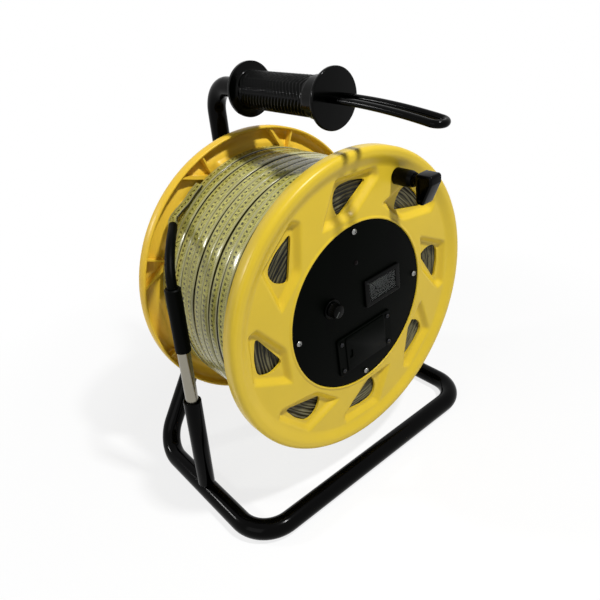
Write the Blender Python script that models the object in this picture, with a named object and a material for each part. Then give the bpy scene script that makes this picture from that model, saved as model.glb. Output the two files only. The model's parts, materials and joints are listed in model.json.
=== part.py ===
"""Water level meter: a measuring tape on a yellow drum that turns in a black tube frame.

Metres, +Z up. The drum's axle lies along Y, its control panel faces -Y, and the frame stands on z = 0.
Every y below is measured from the drum's middle plane. One empty then puts the middle of the whole
meter over the origin.
"""
import math

import bmesh
import bpy
from mathutils import Matrix, Vector

for old_object in list(bpy.data.objects):
    bpy.data.objects.remove(old_object, do_unlink=True)

# Clearances
GAP = 0.0003
RUNNING_CLEARANCE = 0.0003
PANEL_CLEARANCE = 0.0004

# Drum flanges
AXLE_HEIGHT = 0.2012
DRUM_TURN = math.radians(3)
FLANGE_RADIUS = 0.1537
FLANGE_SPACING = 0.1582
WEB_THICKNESS = 0.0026
RIM_WIDTH = 0.0167
RIM_CREST = 0.0045
RIM_WALL = 0.0024
LIP_DEPTH = 0.0097
FLANGE_STEPS = 44
WINDING_STEPS = 36

# The rim's section: shares of its width where the slope eases and ends, and its rounded outer edge
SLOPE_BEND = 0.27
SLOPE_END = 0.48
RIM_CORNER = 0.0042
RIM_EDGE = 0.0013
RIM_INNER_CORNER = 0.0022

# Pockets and openings in each flange. A corner is a pair of shares: clockwise, of the web's radius,
# and outward, of the way from the inner to the outer pocket radius.
POCKET_COUNT = 8
POCKET_INNER_MARGIN = 0.005
POCKET_OUTER_MARGIN = 0.001
POCKET_CORNERS = [(-0.2920, 0.0), (0.0146, 0.0114), (0.2847, 0.6364), (0.2628, 0.9091), (-0.1168, 1.0)]
POCKET_DEPTH = 0.0046
POCKET_SLOPE = 0.0055
POCKET_WALL = 0.0020
POCKET_ROUNDING = 0.003
MOUTH_ROUNDING = 0.007
OPENING_CORNERS = [(-0.0912, 0.1091), (0.2007, 0.6591), (0.0438, 0.7773), (-0.0912, 0.7773), (-0.1350, 0.4545)]
OPENING_ROUNDING = 0.0045

# Ribs inside each rim, in pairs that meet in a V
RIB_REACH = 0.012
RIB_ANGLE = math.radians(25)
RIB_SPREAD = math.radians(-12)
RIB_THICKNESS = 0.002
RIB_DEPTH = 0.0078

# Hub, core and axle
CORE_RADIUS = 0.084
CORE_WALL = 0.003
HUB_RADIUS = 0.016
HUB_BORE = 0.0123
HUB_LENGTH = 0.078
HUB_BOSS_RADIUS = 0.024
HUB_BOSS_HEIGHT = 0.003
BUSH_LENGTH = 0.015
AXLE_RADIUS = 0.008
AXLE_HEAD_RADIUS = 0.0145
AXLE_HEAD_LENGTH = 0.005
AXLE_END_RADIUS = 0.006
SPACER_RADIUS = 0.013
WASHER_RADIUS = 0.0125
WASHER_THICKNESS = 0.002
NUT_RADIUS = 0.0108
NUT_THICKNESS = 0.0085
AXLE_END_LENGTH = 0.002

# Bolts that hold the two flanges on the core
BOLT_CIRCLE = 0.076
BOLT_COUNT = 4
BOLT_RADIUS = 0.0025
BOLT_HEAD_RADIUS = 0.0045
BOLT_HEAD_HEIGHT = 0.003

# Tape winding
WINDING_EDGE = 0.0035
WINDING_MARGIN = 0.0087
TAPE_WRAPS = 11
TAPE_THICKNESS = 0.0022
TAPE_WIDTH = 0.0120
WRAP_GROOVE = 0.0016

# Control panel
PANEL_RADIUS = 0.0866
PANEL_THICKNESS = 0.003
LEDGE_RADIUS = 0.0715
LEDGE_THICKNESS = 0.0027
PANEL_LIP = 0.001
PANEL_SCREW_CIRCLE = 0.080
SCREW_RADIUS = 0.0018
SCREW_HEAD_RADIUS = 0.0030
SCREW_HEAD_HEIGHT = 0.0022
SCREW_LENGTH = 0.0055

# Panel meter
METER_CENTRE = (0.0315, 0.0094)
METER_BEZEL = (0.050, 0.030)
METER_BODY = (0.044, 0.026)
METER_WINDOW = (0.037, 0.020)
METER_BEZEL_HEIGHT = 0.0022
METER_DEPTH = 0.022
METER_CAVITY_DEPTH = 0.010
METER_STEP = 0.001
LENS_THICKNESS = 0.0012
DIAL_THICKNESS = 0.0008
NEEDLE_PIVOT_DROP = 0.0065
NEEDLE_LENGTH = 0.0125
NEEDLE_WIDTH = 0.0008
NEEDLE_THICKNESS = 0.0007
NEEDLE_HUB_RADIUS = 0.0016
NEEDLE_HUB_HEIGHT = 0.0022
NEEDLE_SHAFT_RADIUS = 0.0006
NEEDLE_REST = math.radians(-40)

# Rotary switch
SWITCH_CENTRE = (-0.0367, 0.0157)
SWITCH_BODY_RADIUS = 0.008
SWITCH_BODY_DEPTH = 0.018
SWITCH_BUSH_RADIUS = 0.004
SWITCH_BUSH_HEIGHT = 0.0035
SWITCH_BORE_DEPTH = 0.0055
COLLAR_RADIUS = 0.0095
COLLAR_HEIGHT = 0.002
KNOB_RADIUS = 0.0076
KNOB_TOP_RADIUS = 0.0066
KNOB_HEIGHT = 0.0115
KNOB_STEM_RADIUS = 0.0024
KNOB_RECESS_RADIUS = 0.006
KNOB_MARK = (0.0012, 0.0062, 0.0008)
KNOB_REST = math.radians(-135)

# Indicator lamp, circuit board and buzzer
LAMP_CENTRE = (-0.0005, 0.0481)
LAMP_RADIUS = 0.0024
LAMP_DEPTH = 0.006
LAMP_DOME = 0.0012
BOARD_CENTRE = (0.003, 0.0125)
BOARD_SIZE = (0.112, 0.036)
BOARD_THICKNESS = 0.0016
BUZZER_CENTRE = (-0.030, 0.0125)
BUZZER_RADIUS = 0.006
BUZZER_HEIGHT = 0.0065

# Battery, its box and its screwed cover
BATTERY_CENTRE = (0.0019, -0.0447)
BATTERY_SIZE = (0.0485, 0.0265, 0.0175)
BATTERY_BOX_WALL = 0.002
BATTERY_BOX_FLANGE = 0.0025
COVER_SIZE = (0.076, 0.044)
COVER_THICKNESS = 0.0018
COVER_FIELD = (0.056, 0.040)
COVER_FIELD_HEIGHT = 0.001
COVER_SCREW_SPACING = (0.0656, 0.0317)
COVER_SCREW_RADIUS = 0.0014
COVER_SCREW_HEAD_RADIUS = 0.0023
COVER_SCREW_HEAD_HEIGHT = 0.0016
COVER_NOTCH_PLACE = (-0.0222, 0.0)
COVER_NOTCH_SIZE = (0.005, 0.010)
COVER_NOTCH_DEPTH = 0.0012

# Crank
CRANK_ANGLE = math.radians(61.64)
CRANK_EDGE = 0.0006
CRANK_BARREL_RADIUS = 0.008
CRANK_BARREL_LENGTH = 0.021
CRANK_SPINDLE_RADIUS = 0.004
CRANK_SPINDLE_LENGTH = 0.021
CRANK_NECK_RADIUS = 0.0056
CRANK_NECK_LENGTH = 0.006
CRANK_HEAD_LENGTH = 0.022
CRANK_HEAD_WIDTH = 0.016
CRANK_HEAD_TOP = 0.0105
CRANK_HEAD_NOSE = 0.008
CRANK_HEAD_BOTTOM = 0.020
CRANK_HEAD_FOOT = 0.008
CRANK_HEAD_ROUNDING = 0.0022
CRANK_NUT_RADIUS = 0.007
CRANK_NUT_THICKNESS = 0.0038

# Frame of bent tube
TUBE_RADIUS = 0.0105
TUBE_SIDES = 16
BASE_HALF_WIDTH = 0.160
BASE_FRONT_Y = -0.0911
BASE_REAR_Y = 0.0996
BASE_CORNER_RADIUS = 0.035
LEG_TOP_HEIGHT = 0.195
UPRIGHT_Y = 0.1266
UPRIGHT_RADIUS = 0.010
UPRIGHT_BOTTOM = 0.170
UPRIGHT_BEND_RADIUS = 0.028

# Carrying handle
HANDLE_HEIGHT = 0.3945
GRIP_FRONT_Y = -0.0604
GRIP_REAR_Y = 0.0621
GRIP_RADIUS = 0.0178
GRIP_COLLAR_RADIUS = 0.0188
GRIP_COLLAR_LENGTH = 0.018
GRIP_DISC_RADIUS = 0.028
GRIP_DISC_THICKNESS = 0.004
GRIP_EDGE = 0.001
GRIP_FLARE_LENGTH = 0.010
GRIP_FLARE = [(0.1, 0.4), (0.4, 0.75), (0.9, 1.0)]

# Loop in front of the handle
LOOP_ROD_RADIUS = 0.003
LOOP_HALF_WIDTH = 0.0075
LOOP_LENGTH = 0.1165
LOOP_RISE = 0.0011
LOOP_DROOP = 0.0057
LOOP_SOCKET_DEPTH = 0.003

# Probe in its holder
PROBE_LEAN = math.radians(2.46)
PROBE_OUTSIDE = 0.0005
PROBE_Y = 0.0046
HOLDER_RADIUS = 0.009
HOLDER_BORE = 0.0069
HOLDER_LENGTH = 0.109
HOLDER_FLOOR = 0.003
PROBE_RADIUS = 0.0063
PROBE_TIP_LENGTH = 0.016
PROBE_TIP_RADIUS = 0.0048
PROBE_TIP_NOSE = 0.004
PROBE_EDGE = 0.001
PROBE_TOP = 0.167
PROBE_NECK_RADIUS = 0.0042
PROBE_NECK_LENGTH = 0.020
SLEEVE_RADIUS = 0.0075
SLEEVE_LENGTH = 0.066
BOOT_RADIUS = 0.0050
BOOT_END_RADIUS = 0.0042
BOOT_SOCKET = 0.016
BOOT_STRAIGHT = 0.003

# Free run of the boot, and of the tape up to the winding, past the top of the sleeve. A point is
# (share of the way out from the tape's start to the probe, share of the way back from the probe to the
# rear wrap, height). The tape's points give x in metres in place of the first share.
TAPE_START_X = -0.1105
BOOT_ROUTE = [(0.73, 0.0825, 0.2680), (0.57, 0.2508, 0.2790), (0.36, 0.4697, 0.2870),
              (0.15, 0.7054, 0.2905), (0.01, 0.8906, 0.2925)]
LEAD_ROUTE = [(TAPE_START_X, 0.9040, 0.2926), (-0.1070, 0.9697, 0.2943), (-0.0995, 0.9899, 0.2988),
              (-0.0895, 0.9933, 0.3045), (-0.0810, 0.9933, 0.3114), (-0.0720, 0.9933, 0.3175)]
LEAD_UP = (-0.65, 0, 0.75)

# Places that follow from the sizes
WEB_FACE = -FLANGE_SPACING / 2
WEB_RADIUS = FLANGE_RADIUS - RIM_WIDTH
PANEL_FRONT = WEB_FACE
PANEL_BACK = PANEL_FRONT + PANEL_THICKNESS
RIB_ROOT_RADIUS = WEB_RADIUS - RIB_REACH
RIB_TOP_RADIUS = FLANGE_RADIUS - RIM_WALL / 2
LEDGE_FRONT = PANEL_THICKNESS + GAP
LEDGE_BACK = LEDGE_FRONT + LEDGE_THICKNESS
RECESS_RADIUS = PANEL_RADIUS + PANEL_CLEARANCE
POCKET_INNER_RADIUS = RECESS_RADIUS + POCKET_INNER_MARGIN
POCKET_OUTER_RADIUS = WEB_RADIUS - POCKET_OUTER_MARGIN
WINDING_RADIUS = WEB_RADIUS - WINDING_EDGE
TAPE_PITCH = (FLANGE_SPACING - 2 * WINDING_MARGIN) / TAPE_WRAPS
REAR_WRAP_Y = TAPE_PITCH * (TAPE_WRAPS - 1) / 2
CRANK_CIRCLE = WEB_RADIUS - CRANK_BARREL_RADIUS - CRANK_EDGE
CRANK_PLACE = (CRANK_CIRCLE * math.cos(CRANK_ANGLE), CRANK_CIRCLE * math.sin(CRANK_ANGLE))
PROBE_X = -BASE_HALF_WIDTH - PROBE_OUTSIDE
BASE_HEIGHT = TUBE_RADIUS * math.cos(math.pi / TUBE_SIDES)
HUB_REAR = FLANGE_SPACING / 2 + HUB_BOSS_HEIGHT
HUB_FRONT = HUB_REAR - HUB_LENGTH
UPRIGHT_FRONT = UPRIGHT_Y - UPRIGHT_RADIUS
UPRIGHT_BACK = UPRIGHT_Y + UPRIGHT_RADIUS
WASHER_FRONT = UPRIGHT_BACK + GAP
NUT_FRONT = WASHER_FRONT + WASHER_THICKNESS + GAP
AXLE_BACK = NUT_FRONT + NUT_THICKNESS + AXLE_END_LENGTH
LOOP_END = GRIP_FRONT_Y - LOOP_LENGTH - LOOP_ROD_RADIUS
METER_MIDDLE_Y = -(LOOP_END + AXLE_BACK) / 2


def material(name, colour, roughness, metallic=0.0, transmission=0.0):
    """Makes a Principled material. The colour is in ordinary 0 to 255 screen values."""
    made = bpy.data.materials.new(name)
    made.use_nodes = True
    shader = made.node_tree.nodes["Principled BSDF"]
    linear = [(value / 255) ** 2.2 for value in colour]
    shader.inputs["Base Color"].default_value = (*linear, 1)
    shader.inputs["Roughness"].default_value = roughness
    shader.inputs["Metallic"].default_value = metallic
    shader.inputs["Transmission Weight"].default_value = transmission
    made.diffuse_color = (*linear, 1)
    return made


YELLOW = material("yellow_plastic", (200, 172, 60), 0.35)
BLACK_TUBE = material("black_tube", (16, 16, 17), 0.25)
BLACK_PLASTIC = material("black_plastic", (22, 22, 22), 0.4)
BLACK_RUBBER = material("black_rubber", (20, 20, 21), 0.6)
PANEL_BLACK = material("panel_black", (14, 17, 14), 0.5)
STEEL = material("steel", (190, 190, 188), 0.25, 1.0)
STAINLESS = material("stainless", (170, 170, 168), 0.3, 1.0)
BRASS = material("bronze_bush", (170, 130, 70), 0.35, 1.0)
TAPE = material("tape", (140, 140, 95), 0.3)
DIAL = material("dial", (90, 95, 92), 0.6)
NEEDLE = material("needle", (170, 40, 30), 0.5)
CLEAR = material("clear_plastic", (235, 240, 240), 0.05, 0.0, 1.0)
LAMP = material("lamp_red", (170, 30, 25), 0.2)
BOARD = material("circuit_board", (30, 95, 55), 0.5)
BATTERY = material("battery_case", (60, 62, 66), 0.35)


def empty(name, parent=None, place=(0, 0, 0), turn=(0, 0, 0)):
    """Makes an empty that other pieces hang on."""
    made = bpy.data.objects.new(name, None)
    bpy.context.collection.objects.link(made)
    made.parent = parent
    made.location = place
    made.rotation_euler = turn
    return made


def add(name, shape, finish, parent, place=(0, 0, 0), turn=(0, 0, 0)):
    """Turns a bmesh into a named object with smooth round faces and sharp edges."""
    bmesh.ops.recalc_face_normals(shape, faces=shape.faces)
    mesh = bpy.data.meshes.new(name)
    shape.to_mesh(mesh)
    shape.free()
    mesh.shade_smooth()
    mesh.set_sharp_from_angle(angle=math.radians(35))
    made = bpy.data.objects.new(name, mesh)
    bpy.context.collection.objects.link(made)
    made.parent = parent
    made.location = place
    made.rotation_euler = turn
    if finish:
        mesh.materials.append(finish)
    return made


def combine(target, tool_name, shape, operation):
    """Unites the target with a hidden tool shape, or cuts the tool from it."""
    tool = add(tool_name, shape, None, target)
    tool.hide_render = True
    tool.hide_set(True)
    tool.display_type = "WIRE"
    step = target.modifiers.new(tool_name, "BOOLEAN")
    step.operation = operation
    step.object = tool


def skin(shape, sections, closed=False):
    """Joins sections of equally many points with faces, and caps both ends unless it is closed."""
    rings = [[shape.verts.new(point) for point in section] for section in sections]
    pairs = list(zip(rings, rings[1:]))
    if closed:
        pairs.append((rings[-1], rings[0]))
    for first, second in pairs:
        count = len(first)
        for index in range(count):
            after = (index + 1) % count
            shape.faces.new((first[index], first[after], second[after], second[index]))
    if not closed:
        shape.faces.new(rings[0])
        shape.faces.new(rings[-1])
    return shape


def turned(profile, steps, axis="Y", shape=None, place=(0, 0)):
    """Turns a profile of (radius, height) points about an axis. A zero radius closes the end.

    The profile is a closed loop unless it starts and ends on the axis.
    """
    shape = shape or bmesh.new()

    def point(radius, height, angle):
        across = place[0] + radius * math.cos(angle)
        up = place[1] + radius * math.sin(angle)
        return (across, height, up) if axis == "Y" else (across, up, height)

    angles = [2 * math.pi * (index + 0.5) / steps for index in range(steps)]
    rings = []
    for radius, height in profile:
        if radius == 0:
            rings.append([shape.verts.new(point(0, height, 0))])
        else:
            rings.append([shape.verts.new(point(radius, height, angle)) for angle in angles])
    pairs = list(zip(rings, rings[1:]))
    if profile[0][0] > 0:
        pairs.append((rings[-1], rings[0]))
    for first, second in pairs:
        for index in range(steps):
            after = (index + 1) % steps
            if len(first) == 1:
                shape.faces.new((first[0], second[after], second[index]))
            elif len(second) == 1:
                shape.faces.new((first[index], first[after], second[0]))
            else:
                shape.faces.new((first[index], first[after], second[after], second[index]))
    return shape


def rod(radius, low, high, steps=24, axis="Y", shape=None, place=(0, 0)):
    """A plain round bar along an axis."""
    return turned([(0, low), (radius, low), (radius, high), (0, high)], steps, axis, shape, place)


def rectangle(size, centre=(0, 0), rounding=0.0, steps=2):
    """A rectangle's outline, with round corners where a rounding is given."""
    half_x, half_z = size[0] / 2, size[1] / 2
    corners = [(-half_x, -half_z), (half_x, -half_z), (half_x, half_z), (-half_x, half_z)]
    corners = [(centre[0] + x, centre[1] + z) for x, z in corners]
    return round_corners(corners, rounding, steps) if rounding else corners


def round_corners(corners, rounding, steps=2):
    """Replaces each corner of a convex outline by an arc of the given radius."""
    outline = []
    for index, corner in enumerate(corners):
        here = Vector(corner)
        back = (Vector(corners[index - 1]) - here).normalized()
        ahead = (Vector(corners[(index + 1) % len(corners)]) - here).normalized()
        half_angle = back.angle(ahead) / 2
        reach = rounding / math.tan(half_angle)
        middle = here + (back + ahead).normalized() * rounding / math.sin(half_angle)
        start = here + back * reach - middle
        swing = -start.angle_signed(here + ahead * reach - middle)
        for step in range(steps + 1):
            spoke = Matrix.Rotation(swing * step / steps, 2) @ start
            outline.append(tuple(middle + spoke))
    return outline


def inset(corners, amount):
    """Moves each side of a convex outline inwards. A negative amount moves it outwards."""
    moved = []
    count = len(corners)
    for index in range(count):
        before, here, after = (Vector(corners[(index + k) % count]) for k in (-1, 0, 1))
        first, second = (here - before).normalized(), (after - here).normalized()
        first_in, second_in = Vector((-first.y, first.x)), Vector((-second.y, second.x))
        middle = (first_in + second_in).normalized()
        moved.append(tuple(here + middle * amount / middle.dot(first_in)))
    return moved


def prism(outline, front, back, shape=None):
    """Extrudes an outline in X and Z along Y."""
    shape = shape or bmesh.new()
    return skin(shape, [[(x, y, z) for x, z in outline] for y in (front, back)])


def nested(outlines):
    """Skins a row of (outline, y) pairs into one solid, such as a tray or a stepped plate."""
    return skin(bmesh.new(), [[(x, y, z) for x, z in outline] for outline, y in outlines])


def circle(radius, sides):
    """A circle with a flat side at its bottom, as a section for a swept tube."""
    angles = [2 * math.pi * (index + 0.5) / sides for index in range(sides)]
    return [(radius * math.cos(angle), radius * math.sin(angle)) for angle in angles]


def fillet(corners, radius, steps=8):
    """Rounds the inner corners of a path in space with arcs."""
    path = [Vector(corners[0])]
    for index in range(1, len(corners) - 1):
        here = Vector(corners[index])
        back = (Vector(corners[index - 1]) - here).normalized()
        ahead = (Vector(corners[index + 1]) - here).normalized()
        half_angle = back.angle(ahead) / 2
        middle = here + (back + ahead).normalized() * radius / math.sin(half_angle)
        start = here + back * radius / math.tan(half_angle) - middle
        axis = start.cross(here + ahead * radius / math.tan(half_angle) - middle).normalized()
        swing = math.pi - 2 * half_angle
        for step in range(steps + 1):
            path.append(middle + Matrix.Rotation(swing * step / steps, 3, axis) @ start)
    path.append(Vector(corners[-1]))
    return path


def smooth_route(points, steps=3):
    """Points along a smooth curve through the given ones."""
    knots = [Vector(point) for point in points]
    knots = [2 * knots[0] - knots[1]] + knots + [2 * knots[-1] - knots[-2]]
    route = []
    for a, b, c, d in zip(knots, knots[1:], knots[2:], knots[3:]):
        for step in range(steps):
            t = step / steps
            route.append(0.5 * (2 * b + (c - a) * t + (2 * a - 5 * b + 4 * c - d) * t ** 2
                                + (3 * b - a - 3 * c + d) * t ** 3))
    route.append(knots[-2])
    return route


def swept(path, section, up, scales=None):
    """Sweeps a section along a path. The section's second axis stays as near to up as the path lets it."""
    path = [Vector(point) for point in path]
    last = len(path) - 1
    up = Vector(up)
    sections = []
    for index, here in enumerate(path):
        ahead = (path[min(index + 1, last)] - here).normalized()
        behind = (here - path[max(index - 1, 0)]).normalized()
        along = (ahead + behind).normalized()
        normal = (up - along * up.dot(along)).normalized()
        side = along.cross(normal)
        size = scales[index] if scales else 1
        sections.append([here + (side * u + normal * v) * size for u, v in section])
    return skin(bmesh.new(), sections)


def on_pocket(outline, index):
    """Puts (clockwise, outward) places onto the radius of one of the flange's pockets."""
    angle = 2 * math.pi * index / POCKET_COUNT
    return [(out * math.cos(angle) + clockwise * math.sin(angle),
             out * math.sin(angle) - clockwise * math.cos(angle)) for clockwise, out in outline]


def in_metres(shares):
    """Turns corners given as (clockwise, outward) shares into metres on the pocket's own radius."""
    depth = POCKET_OUTER_RADIUS - POCKET_INNER_RADIUS
    return [(clockwise * WEB_RADIUS, POCKET_INNER_RADIUS + outward * depth) for clockwise, outward in shares]


def pocket_rings(amount, slope, front, surface, floor, index, steps):
    """A pocket's outlines from its mouth to its floor, as sections for skin."""
    corners = in_metres(POCKET_CORNERS)
    mouth = on_pocket(round_corners(inset(corners, amount), MOUTH_ROUNDING, steps), index)
    bottom = on_pocket(round_corners(inset(corners, amount + slope), POCKET_ROUNDING, steps), index)
    levels = [(mouth, front), (mouth, surface), (bottom, floor)]
    return [[(x, y, z) for x, z in outline] for outline, y in levels]


def rib_pair(index):
    """Outline of two thin ribs that meet in a V below the rim."""
    angle = RIB_ANGLE + 2 * math.pi * index / POCKET_COUNT
    root = Vector((math.cos(angle), math.sin(angle))) * RIB_ROOT_RADIUS
    straight = Vector((math.cos(angle), math.sin(angle))) * RIB_TOP_RADIUS
    slanted = Vector((math.cos(angle + RIB_SPREAD), math.sin(angle + RIB_SPREAD))) * RIB_TOP_RADIUS
    across_straight = (straight - root).orthogonal().normalized() * RIB_THICKNESS / 2
    across_slanted = (slanted - root).orthogonal().normalized() * RIB_THICKNESS / 2
    foot = (straight - root).normalized() * RIB_THICKNESS
    fork = root + (straight - root).normalized() * 3 * RIB_THICKNESS - across_straight
    fork += (slanted - root).normalized() * RIB_THICKNESS / 2
    return [tuple(point) for point in (root + across_straight - foot, root - across_slanted - foot,
                                       slanted - across_slanted, slanted + across_slanted, fork,
                                       straight - across_straight, straight + across_straight)]


def rim_profile():
    """The rim's section from the web's face, over the crest and the lip, to the web's back."""
    crest = RIM_CREST
    outer = FLANGE_RADIUS
    inner = FLANGE_RADIUS - RIM_WALL
    bend = WEB_RADIUS + SLOPE_BEND * RIM_WIDTH
    top = WEB_RADIUS + SLOPE_END * RIM_WIDTH
    return [(WEB_RADIUS, 0), (bend, -0.8 * crest), (top, -crest), (outer - RIM_CORNER, -crest),
            (outer - RIM_EDGE, -0.75 * crest), (outer, -0.1 * crest), (outer, LIP_DEPTH),
            (inner, LIP_DEPTH), (inner, 0), (inner - RIM_INNER_CORNER, RIM_WALL - crest),
            (top, RIM_WALL - crest), (bend, 0), (WEB_RADIUS, WEB_THICKNESS)]


def bolt_places():
    """The four bolts' places on the drum, as (x, z)."""
    angles = [2 * math.pi * (index + 0.5) / BOLT_COUNT for index in range(BOLT_COUNT)]
    return [(BOLT_CIRCLE * math.cos(angle), BOLT_CIRCLE * math.sin(angle)) for angle in angles]


def flange(name, centre_profile, parent, place, turn, crank_hole):
    """One moulded flange: a turned web and rim, eight pockets with openings, and the inner ribs."""
    made = add(name, turned(centre_profile + rim_profile(), FLANGE_STEPS), YELLOW, parent, place, turn)
    raised, hollows, openings = bmesh.new(), bmesh.new(), bmesh.new()
    rib_front = WEB_THICKNESS / 2 - RIM_CREST * 0.25
    for index in range(POCKET_COUNT):
        skin(raised, pocket_rings(-POCKET_WALL, POCKET_SLOPE, WEB_THICKNESS * 0.4, WEB_THICKNESS,
                                  POCKET_DEPTH + POCKET_WALL, index, 1))
        prism(rib_pair(index), rib_front, RIB_DEPTH, raised)
        skin(hollows, pocket_rings(0, POCKET_SLOPE, -2 * RIM_CREST, 0, POCKET_DEPTH, index, 2))
        outline = on_pocket(round_corners(in_metres(OPENING_CORNERS), OPENING_ROUNDING), index)
        prism(outline, POCKET_DEPTH / 2, LIP_DEPTH, openings)
    for x, z in bolt_places():
        rod(BOLT_RADIUS + GAP, -LIP_DEPTH, LIP_DEPTH, 12, "Y", openings, (x, z))
    if crank_hole:
        rod(CRANK_SPINDLE_RADIUS + GAP, -LIP_DEPTH, LIP_DEPTH, 24, "Y", openings, CRANK_PLACE)
    combine(made, name + "_raised", raised, "UNION")
    combine(made, name + "_hollows", hollows, "DIFFERENCE")
    combine(made, name + "_openings", openings, "DIFFERENCE")
    return made


def flanges(drum):
    """The two yellow flanges. The front one holds the panel and the rear one holds the hub."""
    panel_seat = [(LEDGE_RADIUS, LEDGE_BACK), (LEDGE_RADIUS, LEDGE_FRONT), (RECESS_RADIUS, LEDGE_FRONT),
                  (RECESS_RADIUS, -PANEL_LIP / 2), (RECESS_RADIUS + PANEL_LIP, -PANEL_LIP),
                  (RECESS_RADIUS + 2.5 * PANEL_LIP, 0)]
    seat_back = [(RECESS_RADIUS + WEB_THICKNESS + PANEL_LIP, WEB_THICKNESS),
                 (RECESS_RADIUS + WEB_THICKNESS, LEDGE_BACK)]
    profile = seat_back + panel_seat
    flange("front_flange", profile, drum, (0, WEB_FACE, 0), (0, 0, 0), True)
    hub = [(HUB_RADIUS + 2 * WEB_THICKNESS, WEB_THICKNESS), (HUB_RADIUS, 3 * WEB_THICKNESS),
           (HUB_RADIUS, HUB_LENGTH - HUB_BOSS_HEIGHT), (HUB_BORE, HUB_LENGTH - HUB_BOSS_HEIGHT),
           (HUB_BORE, -HUB_BOSS_HEIGHT), (HUB_BOSS_RADIUS, -HUB_BOSS_HEIGHT),
           (HUB_BOSS_RADIUS + HUB_BOSS_HEIGHT, 0)]
    flange("rear_flange", hub, drum, (0, -WEB_FACE, 0), (0, 0, math.pi), False)


def core_and_bolts(drum):
    """The core tube between the flanges, and the bolts that clamp the flanges on it."""
    front = WEB_FACE + LEDGE_BACK + GAP
    back = -WEB_FACE - WEB_THICKNESS - GAP
    inner = CORE_RADIUS - CORE_WALL
    profile = [(inner, front), (CORE_RADIUS, front), (CORE_RADIUS, back), (inner, back)]
    add("drum_core", turned(profile, WINDING_STEPS), BLACK_PLASTIC, drum)
    head_face = -WEB_FACE + GAP
    tip = WEB_FACE + LEDGE_FRONT + GAP
    for index, (x, z) in enumerate(bolt_places(), 1):
        outline = [(0, tip), (BOLT_RADIUS, tip), (BOLT_RADIUS, head_face), (BOLT_HEAD_RADIUS, head_face),
                   (BOLT_HEAD_RADIUS, head_face + 0.7 * BOLT_HEAD_HEIGHT),
                   (0.7 * BOLT_HEAD_RADIUS, head_face + BOLT_HEAD_HEIGHT), (0, head_face + BOLT_HEAD_HEIGHT)]
        add(f"drum_bolt_{index}", turned(outline, 12), STEEL, drum, (x, 0, z))


def winding(drum):
    """The wound tape as one solid, with a ridge for each wrap of its outer layer."""
    half = TAPE_PITCH * TAPE_WRAPS / 2
    inner = CORE_RADIUS + GAP
    profile = [(inner, half), (inner, -half)]
    for wrap in range(TAPE_WRAPS):
        start = -half + wrap * TAPE_PITCH
        profile += [(WINDING_RADIUS - WRAP_GROOVE, start), (WINDING_RADIUS, start + 0.2 * TAPE_PITCH),
                    (WINDING_RADIUS, start + 0.8 * TAPE_PITCH)]
    profile.append((WINDING_RADIUS - WRAP_GROOVE, half))
    add("tape_winding", turned(profile, WINDING_STEPS), TAPE, drum)


def bearings(drum):
    """Two plain bushes in the hub, one at each end."""
    outer = HUB_BORE - GAP
    inner = AXLE_RADIUS + RUNNING_CLEARANCE
    for name, start in (("front_bush", HUB_FRONT), ("rear_bush", HUB_REAR - BUSH_LENGTH)):
        profile = [(inner, start), (outer, start), (outer, start + BUSH_LENGTH), (inner, start + BUSH_LENGTH)]
        add(name, turned(profile, 24), BRASS, drum)


def screw(name, place, seat, parent, radius, head_radius, head_height, length):
    """A pan head screw whose head sits on the surface y = seat and points to -Y."""
    profile = [(0, seat - head_height), (0.55 * head_radius, seat - head_height),
               (0.9 * head_radius, seat - 0.65 * head_height), (head_radius, seat - 0.15 * head_height),
               (head_radius, seat), (radius, seat), (radius, seat + length), (0, seat + length)]
    add(name, turned(profile, 12), STEEL, parent, (place[0], 0, place[1]))


def panel_screw_places():
    """The places of the panel's own screws, as (x, z)."""
    return [(PANEL_SCREW_CIRCLE, 0), (0, PANEL_SCREW_CIRCLE), (-PANEL_SCREW_CIRCLE, 0), (0, -PANEL_SCREW_CIRCLE)]


def cover_screw_places():
    """The places of the battery cover's screws, as (x, z)."""
    half_x, half_z = COVER_SCREW_SPACING[0] / 2, COVER_SCREW_SPACING[1] / 2
    centre_x, centre_z = BATTERY_CENTRE
    return [(centre_x + sx * half_x, centre_z + sz * half_z) for sx, sz in ((-1, 1), (1, 1), (1, -1), (-1, -1))]


def panel(drum):
    """The round control panel with its cut-outs and its four screws."""
    made = add("control_panel", rod(PANEL_RADIUS, PANEL_FRONT, PANEL_BACK, FLANGE_STEPS), PANEL_BLACK, drum)
    cuts = bmesh.new()
    front, back = PANEL_FRONT - PANEL_THICKNESS, PANEL_BACK + PANEL_THICKNESS
    meter_hole = (METER_BODY[0] + 2 * GAP, METER_BODY[1] + 2 * GAP)
    prism(rectangle(meter_hole, METER_CENTRE), front, back, cuts)
    battery_hole = (BATTERY_SIZE[0] + 4 * GAP, BATTERY_SIZE[1] + 4 * GAP)
    prism(rectangle(battery_hole, BATTERY_CENTRE), front, back, cuts)
    rod(SWITCH_BUSH_RADIUS + GAP, front, back, 24, "Y", cuts, SWITCH_CENTRE)
    rod(LAMP_RADIUS + GAP, front, back, 16, "Y", cuts, LAMP_CENTRE)
    for place in panel_screw_places():
        rod(SCREW_RADIUS + GAP, front, back, 10, "Y", cuts, place)
    for place in cover_screw_places():
        rod(COVER_SCREW_RADIUS + GAP, front, back, 10, "Y", cuts, place)
    combine(made, "panel_cuts", cuts, "DIFFERENCE")
    for index, place in enumerate(panel_screw_places(), 1):
        screw(f"panel_screw_{index}", place, PANEL_FRONT - GAP, drum, SCREW_RADIUS, SCREW_HEAD_RADIUS,
              SCREW_HEAD_HEIGHT, SCREW_LENGTH)


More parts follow.
